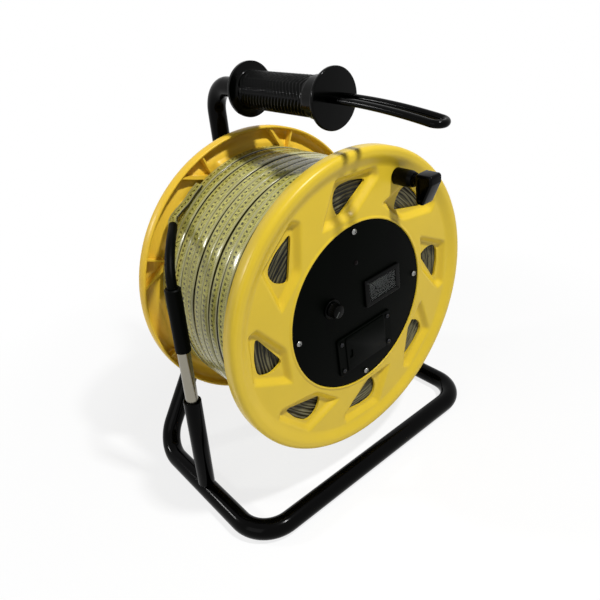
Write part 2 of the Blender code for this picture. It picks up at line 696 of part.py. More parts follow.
def ledge_holes():
    """Holes in the front flange's ledge for the panel's screws."""
    cuts = bmesh.new()
    for place in panel_screw_places():
        rod(SCREW_RADIUS + GAP, LEDGE_FRONT - LEDGE_THICKNESS, LEDGE_BACK + LEDGE_THICKNESS, 10, "Y", cuts, place)
    combine(bpy.data.objects["front_flange"], "ledge_holes", cuts, "DIFFERENCE")


def meter(drum):
    """The moving coil meter: its case with a bezel, its dial, lens and needle."""
    bezel_front = PANEL_FRONT - GAP - METER_BEZEL_HEIGHT
    shelf = bezel_front + LENS_THICKNESS + GAP
    floor = shelf + METER_CAVITY_DEPTH
    cavity = (METER_WINDOW[0] - 2 * METER_STEP, METER_WINDOW[1] - 2 * METER_STEP)

    def outline(size, rounding=0.001):
        return rectangle(size, METER_CENTRE, rounding)

    case = nested([(outline(cavity), floor), (outline(cavity), shelf), (outline(METER_WINDOW), shelf),
                   (outline(METER_WINDOW), bezel_front), (outline(METER_BEZEL, 0.002), bezel_front),
                   (outline(METER_BEZEL, 0.002), PANEL_FRONT - GAP), (outline(METER_BODY), PANEL_FRONT - GAP),
                   (outline(METER_BODY), PANEL_FRONT + METER_DEPTH)])
    add("meter_case", case, BLACK_PLASTIC, drum)
    lens_size = (METER_WINDOW[0] - 2 * GAP, METER_WINDOW[1] - 2 * GAP)
    add("meter_lens", prism(outline(lens_size), bezel_front, bezel_front + LENS_THICKNESS), CLEAR, drum)
    dial_size = (cavity[0] - 2 * GAP, cavity[1] - 2 * GAP)
    dial_back = floor - GAP
    dial_front = dial_back - DIAL_THICKNESS
    dial = add("meter_dial", prism(outline(dial_size), dial_front, dial_back), DIAL, drum)
    pivot = (METER_CENTRE[0], METER_CENTRE[1] - NEEDLE_PIVOT_DROP)
    hole = rod(NEEDLE_SHAFT_RADIUS + GAP, dial_front - 0.002, dial_back + 0.002, 16, "Y", None, pivot)
    combine(dial, "dial_hole", hole, "DIFFERENCE")
    axis = empty("needle_axis", drum, (pivot[0], dial_front - GAP, pivot[1]), (0, NEEDLE_REST, 0))
    hub = [(0, dial_back - dial_front), (NEEDLE_SHAFT_RADIUS, dial_back - dial_front), (NEEDLE_SHAFT_RADIUS, 0),
           (NEEDLE_HUB_RADIUS, 0), (NEEDLE_HUB_RADIUS, -NEEDLE_HUB_HEIGHT), (0, -NEEDLE_HUB_HEIGHT)]
    needle = add("meter_needle", turned(hub, 20), NEEDLE, axis)
    blade = rectangle((NEEDLE_WIDTH, NEEDLE_LENGTH), (0, NEEDLE_LENGTH / 2))
    blade_front = -NEEDLE_HUB_HEIGHT / 2 - NEEDLE_THICKNESS / 2
    combine(needle, "needle_blade", prism(blade, blade_front, blade_front + NEEDLE_THICKNESS), "UNION")


def switch(drum):
    """The rotary switch: its body behind the panel, the collar in front of it, and the knob."""
    bush_front = -SWITCH_BUSH_HEIGHT
    stem = KNOB_STEM_RADIUS + RUNNING_CLEARANCE
    bore_end = bush_front + SWITCH_BORE_DEPTH
    body = [(0, SWITCH_BODY_DEPTH), (SWITCH_BODY_RADIUS, SWITCH_BODY_DEPTH),
            (SWITCH_BODY_RADIUS, PANEL_THICKNESS + GAP), (SWITCH_BUSH_RADIUS, PANEL_THICKNESS + GAP),
            (SWITCH_BUSH_RADIUS, bush_front), (stem, bush_front), (stem, bore_end), (0, bore_end)]
    axis = empty("switch_axis", drum, (SWITCH_CENTRE[0], PANEL_FRONT, SWITCH_CENTRE[1]))
    add("switch_body", turned(body, 24), BLACK_PLASTIC, axis)
    hole = SWITCH_BUSH_RADIUS + GAP
    collar_front = -GAP - COLLAR_HEIGHT
    ring = [(hole, -GAP), (COLLAR_RADIUS, -GAP), (COLLAR_RADIUS, collar_front), (hole, collar_front)]
    add("switch_collar", turned(ring, 24), STEEL, axis)
    skirt = collar_front - GAP
    roof = bush_front - GAP
    top = skirt - KNOB_HEIGHT
    knob = [(0, bore_end - GAP), (KNOB_STEM_RADIUS, bore_end - GAP), (KNOB_STEM_RADIUS, roof),
            (KNOB_RECESS_RADIUS, roof), (KNOB_RECESS_RADIUS, skirt), (KNOB_RADIUS, skirt),
            (KNOB_TOP_RADIUS, top + 0.0006), (KNOB_TOP_RADIUS - 0.0006, top), (0, top)]
    made = add("switch_knob", turned(knob, 24), BLACK_PLASTIC, axis, (0, 0, 0), (0, KNOB_REST, 0))
    width, length, depth = KNOB_MARK
    mark = prism(rectangle((width, length), (0, KNOB_TOP_RADIUS - length / 2)), top - depth, top + depth)
    combine(made, "knob_mark", mark, "DIFFERENCE")


def electronics(drum):
    """The lamp, the circuit board on the meter's back, and the buzzer on the board."""
    lamp = [(0, PANEL_FRONT + LAMP_DEPTH), (LAMP_RADIUS, PANEL_FRONT + LAMP_DEPTH), (LAMP_RADIUS, PANEL_FRONT),
            (0.7 * LAMP_RADIUS, PANEL_FRONT - 0.7 * LAMP_DOME), (0, PANEL_FRONT - LAMP_DOME)]
    add("indicator_lamp", turned(lamp, 16), LAMP, drum, (LAMP_CENTRE[0], 0, LAMP_CENTRE[1]))
    board_front = PANEL_FRONT + METER_DEPTH + GAP
    board_back = board_front + BOARD_THICKNESS
    add("circuit_board", prism(rectangle(BOARD_SIZE, BOARD_CENTRE), board_front, board_back), BOARD, drum)
    buzzer_front = board_back + GAP
    buzzer = rod(BUZZER_RADIUS, buzzer_front, buzzer_front + BUZZER_HEIGHT, 24, "Y", None, BUZZER_CENTRE)
    add("buzzer", buzzer, BLACK_PLASTIC, drum)


def battery(drum):
    """The battery in its box behind the panel, under a screwed cover."""
    length, height, depth = BATTERY_SIZE
    inner = (length + 4 * GAP, height + 4 * GAP)
    wall = 2 * BATTERY_BOX_WALL
    outer = (inner[0] + wall, inner[1] + wall)
    rim = (outer[0] + 2 * BATTERY_BOX_FLANGE, outer[1])
    box_front = PANEL_BACK + GAP
    battery_front = PANEL_FRONT + GAP
    floor = battery_front + depth + GAP
    box = nested([(rectangle(inner, BATTERY_CENTRE), floor), (rectangle(inner, BATTERY_CENTRE), box_front),
                  (rectangle(rim, BATTERY_CENTRE), box_front),
                  (rectangle(rim, BATTERY_CENTRE), box_front + BATTERY_BOX_WALL),
                  (rectangle(outer, BATTERY_CENTRE), box_front + BATTERY_BOX_WALL),
                  (rectangle(outer, BATTERY_CENTRE), floor + BATTERY_BOX_WALL)])
    add("battery_box", box, BLACK_PLASTIC, drum)
    cell = rectangle((length, height), BATTERY_CENTRE, 0.002)
    add("battery", prism(cell, battery_front, battery_front + depth), BATTERY, drum)
    cover_back = PANEL_FRONT - GAP
    cover_front = cover_back - COVER_THICKNESS
    field_front = cover_front - COVER_FIELD_HEIGHT
    cover = nested([(rectangle(COVER_SIZE, BATTERY_CENTRE, 0.003), cover_back),
                    (rectangle(COVER_SIZE, BATTERY_CENTRE, 0.003), cover_front),
                    (rectangle(COVER_FIELD, BATTERY_CENTRE, 0.002), cover_front),
                    (rectangle(COVER_FIELD, BATTERY_CENTRE, 0.002), field_front)])
    made = add("battery_cover", cover, PANEL_BLACK, drum)
    cuts = bmesh.new()
    for place in cover_screw_places():
        rod(COVER_SCREW_RADIUS + GAP, field_front, cover_back + COVER_THICKNESS, 10, "Y", cuts, place)
    notch = (BATTERY_CENTRE[0] + COVER_NOTCH_PLACE[0], BATTERY_CENTRE[1] + COVER_NOTCH_PLACE[1])
    outline = rectangle(COVER_NOTCH_SIZE, notch, COVER_NOTCH_SIZE[0] * 0.49)
    prism(outline, field_front - COVER_NOTCH_DEPTH, field_front + COVER_NOTCH_DEPTH, cuts)
    combine(made, "cover_cuts", cuts, "DIFFERENCE")
    for index, place in enumerate(cover_screw_places(), 1):
        screw(f"cover_screw_{index}", place, cover_front - GAP, drum, COVER_SCREW_RADIUS,
              COVER_SCREW_HEAD_RADIUS, COVER_SCREW_HEAD_HEIGHT, COVER_THICKNESS + PANEL_THICKNESS)


def crank(drum):
    """The crank: a post bolted through the front flange, and a handle that spins on its spindle."""
    axis = empty("crank_axis", drum, (CRANK_PLACE[0], WEB_FACE, CRANK_PLACE[1]))
    barrel_front = -GAP - CRANK_BARREL_LENGTH
    spindle_front = barrel_front - CRANK_SPINDLE_LENGTH
    nut_front = WEB_THICKNESS + GAP
    nut_back = nut_front + CRANK_NUT_THICKNESS
    post = [(0, spindle_front), (CRANK_SPINDLE_RADIUS, spindle_front), (CRANK_SPINDLE_RADIUS, barrel_front),
            (0.85 * CRANK_BARREL_RADIUS, barrel_front), (CRANK_BARREL_RADIUS, 0.8 * barrel_front),
            (CRANK_BARREL_RADIUS, -GAP), (CRANK_SPINDLE_RADIUS, -GAP), (CRANK_SPINDLE_RADIUS, nut_back), (0, nut_back)]
    add("crank_post", turned(post, 24), BLACK_PLASTIC, axis)
    nut_hole = CRANK_SPINDLE_RADIUS + GAP
    nut = add("crank_nut", rod(CRANK_NUT_RADIUS, nut_front, nut_back, 6), STEEL, axis)
    combine(nut, "crank_nut_hole", rod(nut_hole, nut_front - GAP, nut_back + GAP), "DIFFERENCE")
    neck_back = barrel_front - GAP
    neck_front = neck_back - CRANK_NECK_LENGTH
    head_front = neck_front - CRANK_HEAD_LENGTH
    ring = CRANK_NECK_LENGTH / 5
    neck = [(0, neck_back)]
    for index in range(5):
        radius = CRANK_NECK_RADIUS if index % 2 == 0 else 0.9 * CRANK_NECK_RADIUS
        neck += [(radius, neck_back - index * ring), (radius, neck_back - (index + 1) * ring)]
    neck += [(CRANK_NECK_RADIUS, neck_front - 0.002), (0, neck_front - 0.002)]
    handle = add("crank_handle", crank_head(neck_front, head_front), BLACK_PLASTIC, axis)
    combine(handle, "crank_neck", turned(neck, 24), "UNION")
    bore = rod(CRANK_SPINDLE_RADIUS + RUNNING_CLEARANCE, spindle_front - GAP, neck_back + 0.001)
    combine(handle, "crank_bore", bore, "DIFFERENCE")


def crank_head(back, front):
    """The crank's head: a five-sided side view, rounded across its width."""
    shape = bmesh.new()
    side_view = [(back, CRANK_HEAD_TOP), (front, CRANK_HEAD_TOP), (front, CRANK_HEAD_TOP - CRANK_HEAD_NOSE),
                 (back - CRANK_HEAD_FOOT, -CRANK_HEAD_BOTTOM), (back, -CRANK_HEAD_BOTTOM)]
    levels = [(-0.5, CRANK_HEAD_ROUNDING), (-0.5 + CRANK_HEAD_ROUNDING / CRANK_HEAD_WIDTH, 0),
              (0.5 - CRANK_HEAD_ROUNDING / CRANK_HEAD_WIDTH, 0), (0.5, CRANK_HEAD_ROUNDING)]
    sections = []
    for share, grow in levels:
        outline = round_corners(inset(side_view, grow), CRANK_HEAD_ROUNDING)
        sections.append([(share * CRANK_HEAD_WIDTH, y, z) for y, z in outline])
    return skin(shape, sections)


def frame_tubes(meter_root):
    """The bent base with its two legs, and the upright that becomes the handle's bar."""
    leg_top_x = UPRIGHT_RADIUS + 0.8 * TUBE_RADIUS + 2 * GAP
    corners = []
    for side in (-1, 1):
        half = [(side * leg_top_x, UPRIGHT_Y, LEG_TOP_HEIGHT), (side * BASE_HALF_WIDTH, BASE_REAR_Y, BASE_HEIGHT),
                (side * BASE_HALF_WIDTH, BASE_FRONT_Y, BASE_HEIGHT)]
        corners += half if side < 0 else half[::-1]
    path = fillet(corners, BASE_CORNER_RADIUS, 6)
    add("base_frame", swept(path, circle(TUBE_RADIUS, TUBE_SIDES), (0, 0, 1)), BLACK_TUBE, meter_root)
    tip = (0, GRIP_FRONT_Y + GRIP_DISC_THICKNESS + GAP, HANDLE_HEIGHT)
    upright = fillet([(0, UPRIGHT_Y, UPRIGHT_BOTTOM), (0, UPRIGHT_Y, HANDLE_HEIGHT), tip], UPRIGHT_BEND_RADIUS)
    made = add("upright_tube", swept(upright, circle(UPRIGHT_RADIUS, TUBE_SIDES), (1, 0, 0)), BLACK_TUBE, meter_root)
    hole = rod(AXLE_END_RADIUS + GAP, UPRIGHT_FRONT - 0.01, UPRIGHT_BACK + 0.01, 24, "Y", None, (0, AXLE_HEIGHT))
    combine(made, "axle_hole", hole, "DIFFERENCE")


def axle(meter_root):
    """The shouldered axle, the spacer behind the drum, and the washer and nut on the upright."""
    axis = empty("axle_axis", meter_root, (0, 0, AXLE_HEIGHT))
    head_front = HUB_FRONT - GAP - AXLE_HEAD_LENGTH
    shoulder = UPRIGHT_FRONT - GAP
    profile = [(0, head_front), (AXLE_HEAD_RADIUS, head_front), (AXLE_HEAD_RADIUS, HUB_FRONT - GAP),
               (AXLE_RADIUS, HUB_FRONT - GAP), (AXLE_RADIUS, shoulder - GAP), (AXLE_END_RADIUS, shoulder - GAP),
               (AXLE_END_RADIUS, AXLE_BACK), (0, AXLE_BACK)]
    add("axle", turned(profile, 24), STEEL, axis)
    inner = AXLE_RADIUS + GAP
    spacer_front = HUB_REAR + GAP
    profile = [(inner, spacer_front), (SPACER_RADIUS, spacer_front), (SPACER_RADIUS, shoulder), (inner, shoulder)]
    add("axle_spacer", turned(profile, 24), BLACK_TUBE, axis)
    hole = AXLE_END_RADIUS + GAP
    washer_back = WASHER_FRONT + WASHER_THICKNESS
    profile = [(hole, WASHER_FRONT), (WASHER_RADIUS, WASHER_FRONT), (WASHER_RADIUS, washer_back), (hole, washer_back)]
    add("axle_washer", turned(profile, 24), STEEL, axis)
    nut = add("axle_nut", rod(NUT_RADIUS, NUT_FRONT, NUT_FRONT + NUT_THICKNESS, 6), STEEL, axis)
    bore = rod(hole, NUT_FRONT - GAP, NUT_FRONT + NUT_THICKNESS + GAP)
    combine(nut, "axle_nut_hole", bore, "DIFFERENCE")


def handle(meter_root):
    """The moulded grip with a guard disc at each end, and the wire loop in front of it."""
    axis = empty("handle_axis", meter_root, (0, 0, HANDLE_HEIGHT))
    bore = UPRIGHT_RADIUS + GAP
    disc_back = GRIP_FRONT_Y + GRIP_DISC_THICKNESS
    collar_end = disc_back + GRIP_COLLAR_LENGTH
    flare = GRIP_REAR_Y - GRIP_DISC_THICKNESS - GRIP_FLARE_LENGTH
    spread = GRIP_DISC_RADIUS - GRIP_RADIUS
    edge = GRIP_EDGE
    front_disc = [(0, GRIP_FRONT_Y), (GRIP_DISC_RADIUS - edge, GRIP_FRONT_Y),
                  (GRIP_DISC_RADIUS, GRIP_FRONT_Y + edge), (GRIP_DISC_RADIUS, disc_back - edge),
                  (GRIP_DISC_RADIUS - edge, disc_back), (GRIP_COLLAR_RADIUS, disc_back),
                  (GRIP_COLLAR_RADIUS, collar_end), (GRIP_RADIUS, collar_end + edge), (GRIP_RADIUS, flare)]
    flared = [(GRIP_RADIUS + out * spread, flare + along * GRIP_FLARE_LENGTH) for out, along in GRIP_FLARE]
    rear_disc = [(GRIP_DISC_RADIUS, flare + GRIP_FLARE_LENGTH + edge), (GRIP_DISC_RADIUS, GRIP_REAR_Y - edge),
                 (GRIP_DISC_RADIUS - edge, GRIP_REAR_Y), (bore, GRIP_REAR_Y), (bore, disc_back), (0, disc_back)]
    made = add("handle_grip", turned(front_disc + flared + rear_disc, 28), BLACK_PLASTIC, axis)
    sockets = bmesh.new()
    socket_front = GRIP_FRONT_Y - GRIP_DISC_THICKNESS
    for side in (-1, 1):
        place = (side * LOOP_HALF_WIDTH, LOOP_RISE)
        rod(LOOP_ROD_RADIUS + GAP, socket_front, GRIP_FRONT_Y + LOOP_SOCKET_DEPTH, 16, "Y", sockets, place)
    combine(made, "loop_sockets", sockets, "DIFFERENCE")
    add("hanging_loop", swept(loop_path(), circle(LOOP_ROD_RADIUS, 8), (0, 0, 1)), BLACK_TUBE, axis)


def loop_path():
    """The hairpin's centre line: out along one side, round its end, and back along the other."""
    straight = LOOP_LENGTH - LOOP_HALF_WIDTH
    inside = LOOP_SOCKET_DEPTH - GAP

    def point(x, out):
        return (x, GRIP_FRONT_Y - out, LOOP_RISE - LOOP_DROOP * (max(out, 0) / straight) ** 2)

    outs = [-inside] + [straight * index / 8 for index in range(9)]
    left = [point(-LOOP_HALF_WIDTH, out) for out in outs]
    turn = []
    for index in range(1, 10):
        angle = math.pi * index / 10
        turn.append(point(-LOOP_HALF_WIDTH * math.cos(angle), straight + LOOP_HALF_WIDTH * math.sin(angle)))
    right = [(-x, y, z) for x, y, z in reversed(left)]
    return left + turn + right


def probe(meter_root):
    """The probe standing in its holder, with its sleeve, bent boot and the tape's free end."""
    foot = BASE_HEIGHT + TUBE_RADIUS + GAP + HOLDER_RADIUS * math.sin(PROBE_LEAN)
    axis = empty("probe_axis", meter_root, (PROBE_X, PROBE_Y, foot), (0, PROBE_LEAN, 0))
    holder = [(0, 0), (HOLDER_RADIUS, 0), (HOLDER_RADIUS, HOLDER_LENGTH), (HOLDER_BORE, HOLDER_LENGTH),
              (HOLDER_BORE, HOLDER_FLOOR), (0, HOLDER_FLOOR)]
    add("probe_holder", turned(holder, 24, "Z"), BLACK_TUBE, axis)
    tip_bottom = HOLDER_FLOOR + GAP
    tip_top = tip_bottom + PROBE_TIP_LENGTH
    tip = [(0, tip_bottom), (0.6 * PROBE_TIP_RADIUS, tip_bottom), (PROBE_TIP_RADIUS, tip_bottom + PROBE_TIP_NOSE),
           (PROBE_TIP_RADIUS, tip_top), (0, tip_top)]
    add("probe_tip", turned(tip, 24, "Z"), BLACK_PLASTIC, axis)
    body_bottom = tip_top + GAP
    neck_top = PROBE_TOP + PROBE_NECK_LENGTH
    body = [(0, body_bottom), (PROBE_RADIUS - PROBE_EDGE, body_bottom), (PROBE_RADIUS, body_bottom + PROBE_EDGE),
            (PROBE_RADIUS, PROBE_TOP), (PROBE_NECK_RADIUS, PROBE_TOP), (PROBE_NECK_RADIUS, neck_top), (0, neck_top)]
    add("probe_body", turned(body, 24, "Z"), STAINLESS, axis)
    sleeve_bottom = PROBE_TOP + GAP
    sleeve_top = sleeve_bottom + SLEEVE_LENGTH
    bore = max(PROBE_NECK_RADIUS, BOOT_RADIUS) + GAP
    sleeve = [(bore, sleeve_bottom), (SLEEVE_RADIUS, sleeve_bottom), (SLEEVE_RADIUS, sleeve_top - PROBE_EDGE),
              (SLEEVE_RADIUS - PROBE_EDGE, sleeve_top), (bore, sleeve_top)]
    add("probe_sleeve", turned(sleeve, 24, "Z"), BLACK_RUBBER, axis)

    def along(distance):
        return Vector((PROBE_X, PROBE_Y, foot)) + Matrix.Rotation(PROBE_LEAN, 3, "Y") @ Vector((0, 0, distance))

    straight = [along(sleeve_top + end) for end in (-BOOT_SOCKET, -BOOT_SOCKET / 2, BOOT_STRAIGHT)]
    route = smooth_route(straight + boot_route())
    shrink = (BOOT_RADIUS - BOOT_END_RADIUS) / BOOT_RADIUS
    scales = [1 - shrink * index / (len(route) - 1) for index in range(len(route))]
    add("probe_boot", swept(route, circle(BOOT_RADIUS, 8), (0, 1, 0), scales), BLACK_RUBBER, meter_root)
    tape_section = rectangle((TAPE_WIDTH, TAPE_THICKNESS))
    lead_route = [(x, rearward(share), z) for x, share, z in LEAD_ROUTE]
    lead = swept(smooth_route(lead_route, 2), tape_section, LEAD_UP)
    add("tape_lead", lead, TAPE, meter_root)


def rearward(share):
    """The y of a share of the way from the probe back to the winding's rear wrap."""
    return PROBE_Y + share * (REAR_WRAP_Y - PROBE_Y)


def boot_route():
    """The boot's points past the sleeve, in metres."""
    return [(TAPE_START_X + out * (PROBE_X - TAPE_START_X), rearward(share), z) for out, share, z in BOOT_ROUTE]


def build():
    """Builds the frame and the drum."""
    meter_root = empty("meter_root", None, (0, METER_MIDDLE_Y, 0))
    drum = empty("drum_axis", meter_root, (0, 0, AXLE_HEIGHT), (0, -DRUM_TURN, 0))
    frame_tubes(meter_root)
    axle(meter_root)
    handle(meter_root)
    probe(meter_root)
    flanges(drum)
    ledge_holes()
    core_and_bolts(drum)
    winding(drum)
    bearings(drum)
    panel(drum)
    meter(drum)
    switch(drum)
    electronics(drum)
    battery(drum)
    crank(drum)


build()
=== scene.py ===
import json
import math

import bmesh
import bpy
import numpy as np
from mathutils import Matrix, Vector


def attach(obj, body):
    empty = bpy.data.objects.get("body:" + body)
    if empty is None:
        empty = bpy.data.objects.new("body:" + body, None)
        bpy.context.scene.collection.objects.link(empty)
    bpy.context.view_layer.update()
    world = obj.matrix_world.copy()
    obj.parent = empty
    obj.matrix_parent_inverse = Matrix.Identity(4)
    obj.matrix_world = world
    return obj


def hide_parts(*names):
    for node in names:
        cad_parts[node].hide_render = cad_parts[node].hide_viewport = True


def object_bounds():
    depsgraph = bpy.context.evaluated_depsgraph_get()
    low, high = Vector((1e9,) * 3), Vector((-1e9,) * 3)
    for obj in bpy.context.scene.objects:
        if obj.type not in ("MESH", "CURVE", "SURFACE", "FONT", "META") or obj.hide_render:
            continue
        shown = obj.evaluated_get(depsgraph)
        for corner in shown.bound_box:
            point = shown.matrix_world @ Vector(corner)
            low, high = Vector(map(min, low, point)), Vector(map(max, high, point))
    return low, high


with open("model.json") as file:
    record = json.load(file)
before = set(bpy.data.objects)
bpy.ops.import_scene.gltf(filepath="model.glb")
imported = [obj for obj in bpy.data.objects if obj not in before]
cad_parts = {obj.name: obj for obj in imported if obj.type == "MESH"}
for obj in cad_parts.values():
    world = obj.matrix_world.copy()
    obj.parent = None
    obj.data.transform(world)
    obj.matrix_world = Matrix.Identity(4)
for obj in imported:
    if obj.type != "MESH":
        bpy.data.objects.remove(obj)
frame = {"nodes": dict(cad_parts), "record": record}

loaded_bounds = [list(corner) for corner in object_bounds()]

# Places shared with the CAD part, in metres. Each y is measured from the drum's middle plane.
METER_MIDDLE_Y = 0.0151
AXLE_HEIGHT = 0.2012
DRUM_TURN = math.radians(3)
ROOT = Matrix.Translation((0, METER_MIDDLE_Y, 0))
DRUM = ROOT @ Matrix.Translation((0, 0, AXLE_HEIGHT)) @ Matrix.Rotation(-DRUM_TURN, 4, "Y")
WEB_FACE = -0.0791

# Camera
CAMERA_TARGET = Vector((-0.0354, -0.0153, 0.2054))
CAMERA_DISTANCE = 0.57363
CAMERA_AZIMUTH = math.radians(-38.01)
CAMERA_ELEVATION = math.radians(29.25)
CAMERA_ROLL = math.radians(-5.77)
CAMERA_LENS = 34.43
CAMERA_SENSOR = 36

# The floor's glow near the object, and the distances between which it fades to plain white
FLOOR_GLOW = 0.80
FLOOR_FADE = (0.25, 0.6)
FLOOR_SIZE = 6.0
FLOOR_DROP = 0.0005

# Flanges
FLANGE_RADIUS = 0.1537
WEB_RADIUS = 0.1345
RIM_TOP_RADIUS = 0.1470
RIM_CREST = 0.0045
RIM_WALL = 0.0024
RIM_ARC_STEPS = 8
RIM_EDGE_DEPTH = 0.0004
RIM_FOOT_INSET = 0.0007
RIM_FOOT_RISE = 0.0013
LIP_DEPTH = 0.0097
LIP_ROUNDING = 0.0006
POCKET_COUNT = 8
POCKET_CORNERS = [(-0.0400, 0.0920), (0.0020, 0.0925), (0.0390, 0.1200), (0.0360, 0.1320), (-0.0160, 0.1360)]
POCKET_DEPTH = 0.0056
POCKET_SLOPE = 0.0070
POCKET_SOFTNESS = 0.0012
EXPONENT_LIMIT = 60
OPENING_CORNERS = [(-0.0125, 0.0968), (0.0275, 0.1210), (0.0060, 0.1262), (-0.0125, 0.1262),
                   (-0.0185, 0.1120)]
OPENING_SOFTNESS = 0.0002
OPENING_REACH = [0.0060, 0.0075, 0.0040, 0.0085, 0.0075]
FLANGE_ANGLES = 560
FLANGE_RINGS = 70
GRID_INNER = 0.0906
GRID_OUTER = 0.1491
FLANGE_SHARPNESS = 60
RECESS_RADIUS = 0.087
RECESS_WALL = 0.0026
LEDGE_RADIUS = 0.0715
LEDGE_FRONT = 0.0033
LEDGE_BACK = 0.0060
PANEL_LIP = 0.001
PANEL_LIP_SHAPE = [(0, 0.5), (0.3, 0.85), (1, 1), (1.8, 0.7), (2.5, 0)]
HUB_RADIUS = 0.016
HUB_BORE = 0.0123
HUB_LENGTH = 0.078
HUB_BOSS_RADIUS = 0.024
HUB_BOSS_HEIGHT = 0.003
HUB_FOOT = 0.0052
RIB_ROOT_RADIUS = 0.125
RIB_TOP_RADIUS = 0.1525
RIB_ANGLE = math.radians(25)
RIB_SPREAD = math.radians(-12)
RIB_THICKNESS = 0.0015
RIB_FRONT = 0.0006
RIB_DEPTH = 0.0078

# Winding
CORE_RADIUS = 0.0843
WINDING_RADIUS = 0.1335
TAPE_PITCH = 0.0128
TAPE_WRAPS = 11
TAPE_THICKNESS = 0.0022
TAPE_WIDTH = 0.0120
TAPE_TICK = 0.010
TAPE_EDGE = 0.0008
LAYER_PITCH = 0.0036
LAYER_STEP = 0.0009
WINDING_ANGLES = 180
WRAP_SHAPE = [(0.015, -0.0030), (0.03, -0.0009), (0.06, -0.0003), (0.16, -0.0001), (0.50, 0.0),
              (0.84, -0.0001), (0.94, -0.0003), (0.97, -0.0009), (0.985, -0.0030)]
WRAP_WANDER = 0.0016
WRAP_LEAN = 0.0060
WRAP_LEAN_ANGLE = math.radians(115)
WRAP_RISE = 0.0004
WANDER_PHASE = 2.4
RISE_PHASE = 1.7
WRAP_GROOVES = [1.0, 0.5, 1.2, 0.3, 1.0, 0.4, 1.3, 0.9, 0.4, 1.1, 0.6, 1.0]

# Control panel
PANEL_RADIUS = 0.0866
PANEL_THICKNESS = 0.003
PANEL_EDGE = 0.0005
PANEL_SCREW_CIRCLE = 0.080
SEAT_GAP = 0.0003
METER_CENTRE = (0.0315, 0.0094)
METER_BEZEL = (0.050, 0.030)
METER_WINDOW = (0.037, 0.020)
METER_BODY = (0.044, 0.026)
METER_BEZEL_HEIGHT = 0.0022
METER_DEPTH = 0.022
METER_CAVITY_DEPTH = 0.010
LENS_THICKNESS = 0.0012
METER_STEP = 0.001
METER_CORNER = 0.001
WINDOW_CORNER = 0.0012
METER_EDGE = 0.0007
METER_EDGE_STEPS = 4
BEZEL_ROUNDING = 0.002
SWITCH_CENTRE = (-0.0367, 0.0157)
COLLAR_RADIUS = 0.0095
COLLAR_HEIGHT = 0.002
COLLAR_BORE = 0.0043
COLLAR_EDGE = 0.0005
KNOB_RADIUS = 0.0076
KNOB_TOP_RADIUS = 0.0066
KNOB_HEIGHT = 0.0080
KNOB_FLUTES = 18
KNOB_FLUTE_DEPTH = 0.0003
KNOB_SKIRT = 0.001
KNOB_STEP = (0.0004, 0.0016)
KNOB_SHOULDER = 0.0012
KNOB_CROWN = (0.0003, 0.0004)
KNOB_CROWN_INSET = 0.0010
KNOB_REST = math.radians(-135)
KNOB_MARK = (0.0012, 0.0062)
KNOB_MARK_INSET = 0.0008
KNOB_MARK_CORNER = 0.0004
KNOB_MARK_RISE = 0.0001
KNOB_MARK_ROOT = 0.0003
LAMP_CENTRE = (-0.0005, 0.0481)
LAMP_RADIUS = 0.0024
LAMP_DEPTH = 0.006
LAMP_DOME = 0.0012
LAMP_STEPS = 6
BATTERY_CENTRE = (0.0019, -0.0447)
BATTERY_OPENING = (0.0497, 0.0277)
COVER_SIZE = (0.076, 0.044)
COVER_CORNER = 0.003
COVER_THICKNESS = 0.0018
COVER_FIELD = (0.056, 0.040)
COVER_FIELD_HEIGHT = 0.001
COVER_FIELD_CORNER = 0.002
COVER_EDGE = 0.0004
COVER_SCREW_SPACING = (0.0656, 0.0317)
COVER_NOTCH_X = -0.0222
COVER_NOTCH_SIZE = (0.005, 0.010)
COVER_NOTCH_DEPTH = 0.0012

# Screws: head radius, head height, shank radius and length, and each screw's turn in degrees
PANEL_SCREW = (0.0030, 0.0022, 0.0018, 0.0055)
COVER_SCREW = (0.0023, 0.0016, 0.0014, 0.0048)
PANEL_SCREW_TURNS = (20, 65, 35, 80)
COVER_SCREW_TURNS = (10, 50, 75, 30)
SCREW_CROWN = 0.5
SCREW_EDGE = 0.35
SCREW_CROSS = ((0.95, 0.2), (0.2, 0.95))

# Limits and shares that the outlines of several pieces use
POLE_RADIUS = 0.0002
LATHE_SIDES = 48
SHORTEST_SIDE = 1e-9
STRAIGHT_LIMIT = 1e-3
ROUNDING_SHARE = 0.45
HALF_SIDE_SHARE = 0.49

# Crank
CRANK_PLACE = (0.0610, 0.1130)
CRANK_BARREL_RADIUS = 0.008
CRANK_BARREL_LENGTH = 0.021
CRANK_SPINDLE_RADIUS = 0.004
CRANK_SPINDLE_LENGTH = 0.021
CRANK_NECK_RADIUS = 0.0056
CRANK_NECK_LENGTH = 0.006
CRANK_NECK_RINGS = 5
CRANK_NECK_GROOVE = 0.86
CRANK_NECK_ROOT = 0.002
CRANK_NUT_BACK = 0.0067
CRANK_POST_ROUNDING = 0.00015
CRANK_HEAD_LENGTH = 0.018
CRANK_HEAD_WIDTH = 0.016
CRANK_HEAD_TOP = 0.0088
CRANK_HEAD_NOSE = 0.008
CRANK_HEAD_BOTTOM = 0.020
CRANK_HEAD_FOOT = 0.008
CRANK_HEAD_ROUNDING = 0.0022
CRANK_HEAD_CORNER = 0.0026
CRANK_EDGE_STEPS = 5
CRANK_RECESS_EDGE = 0.0032
CRANK_RECESS_DEPTH = 0.0016
CRANK_RECESS_SLOPE = 0.0006

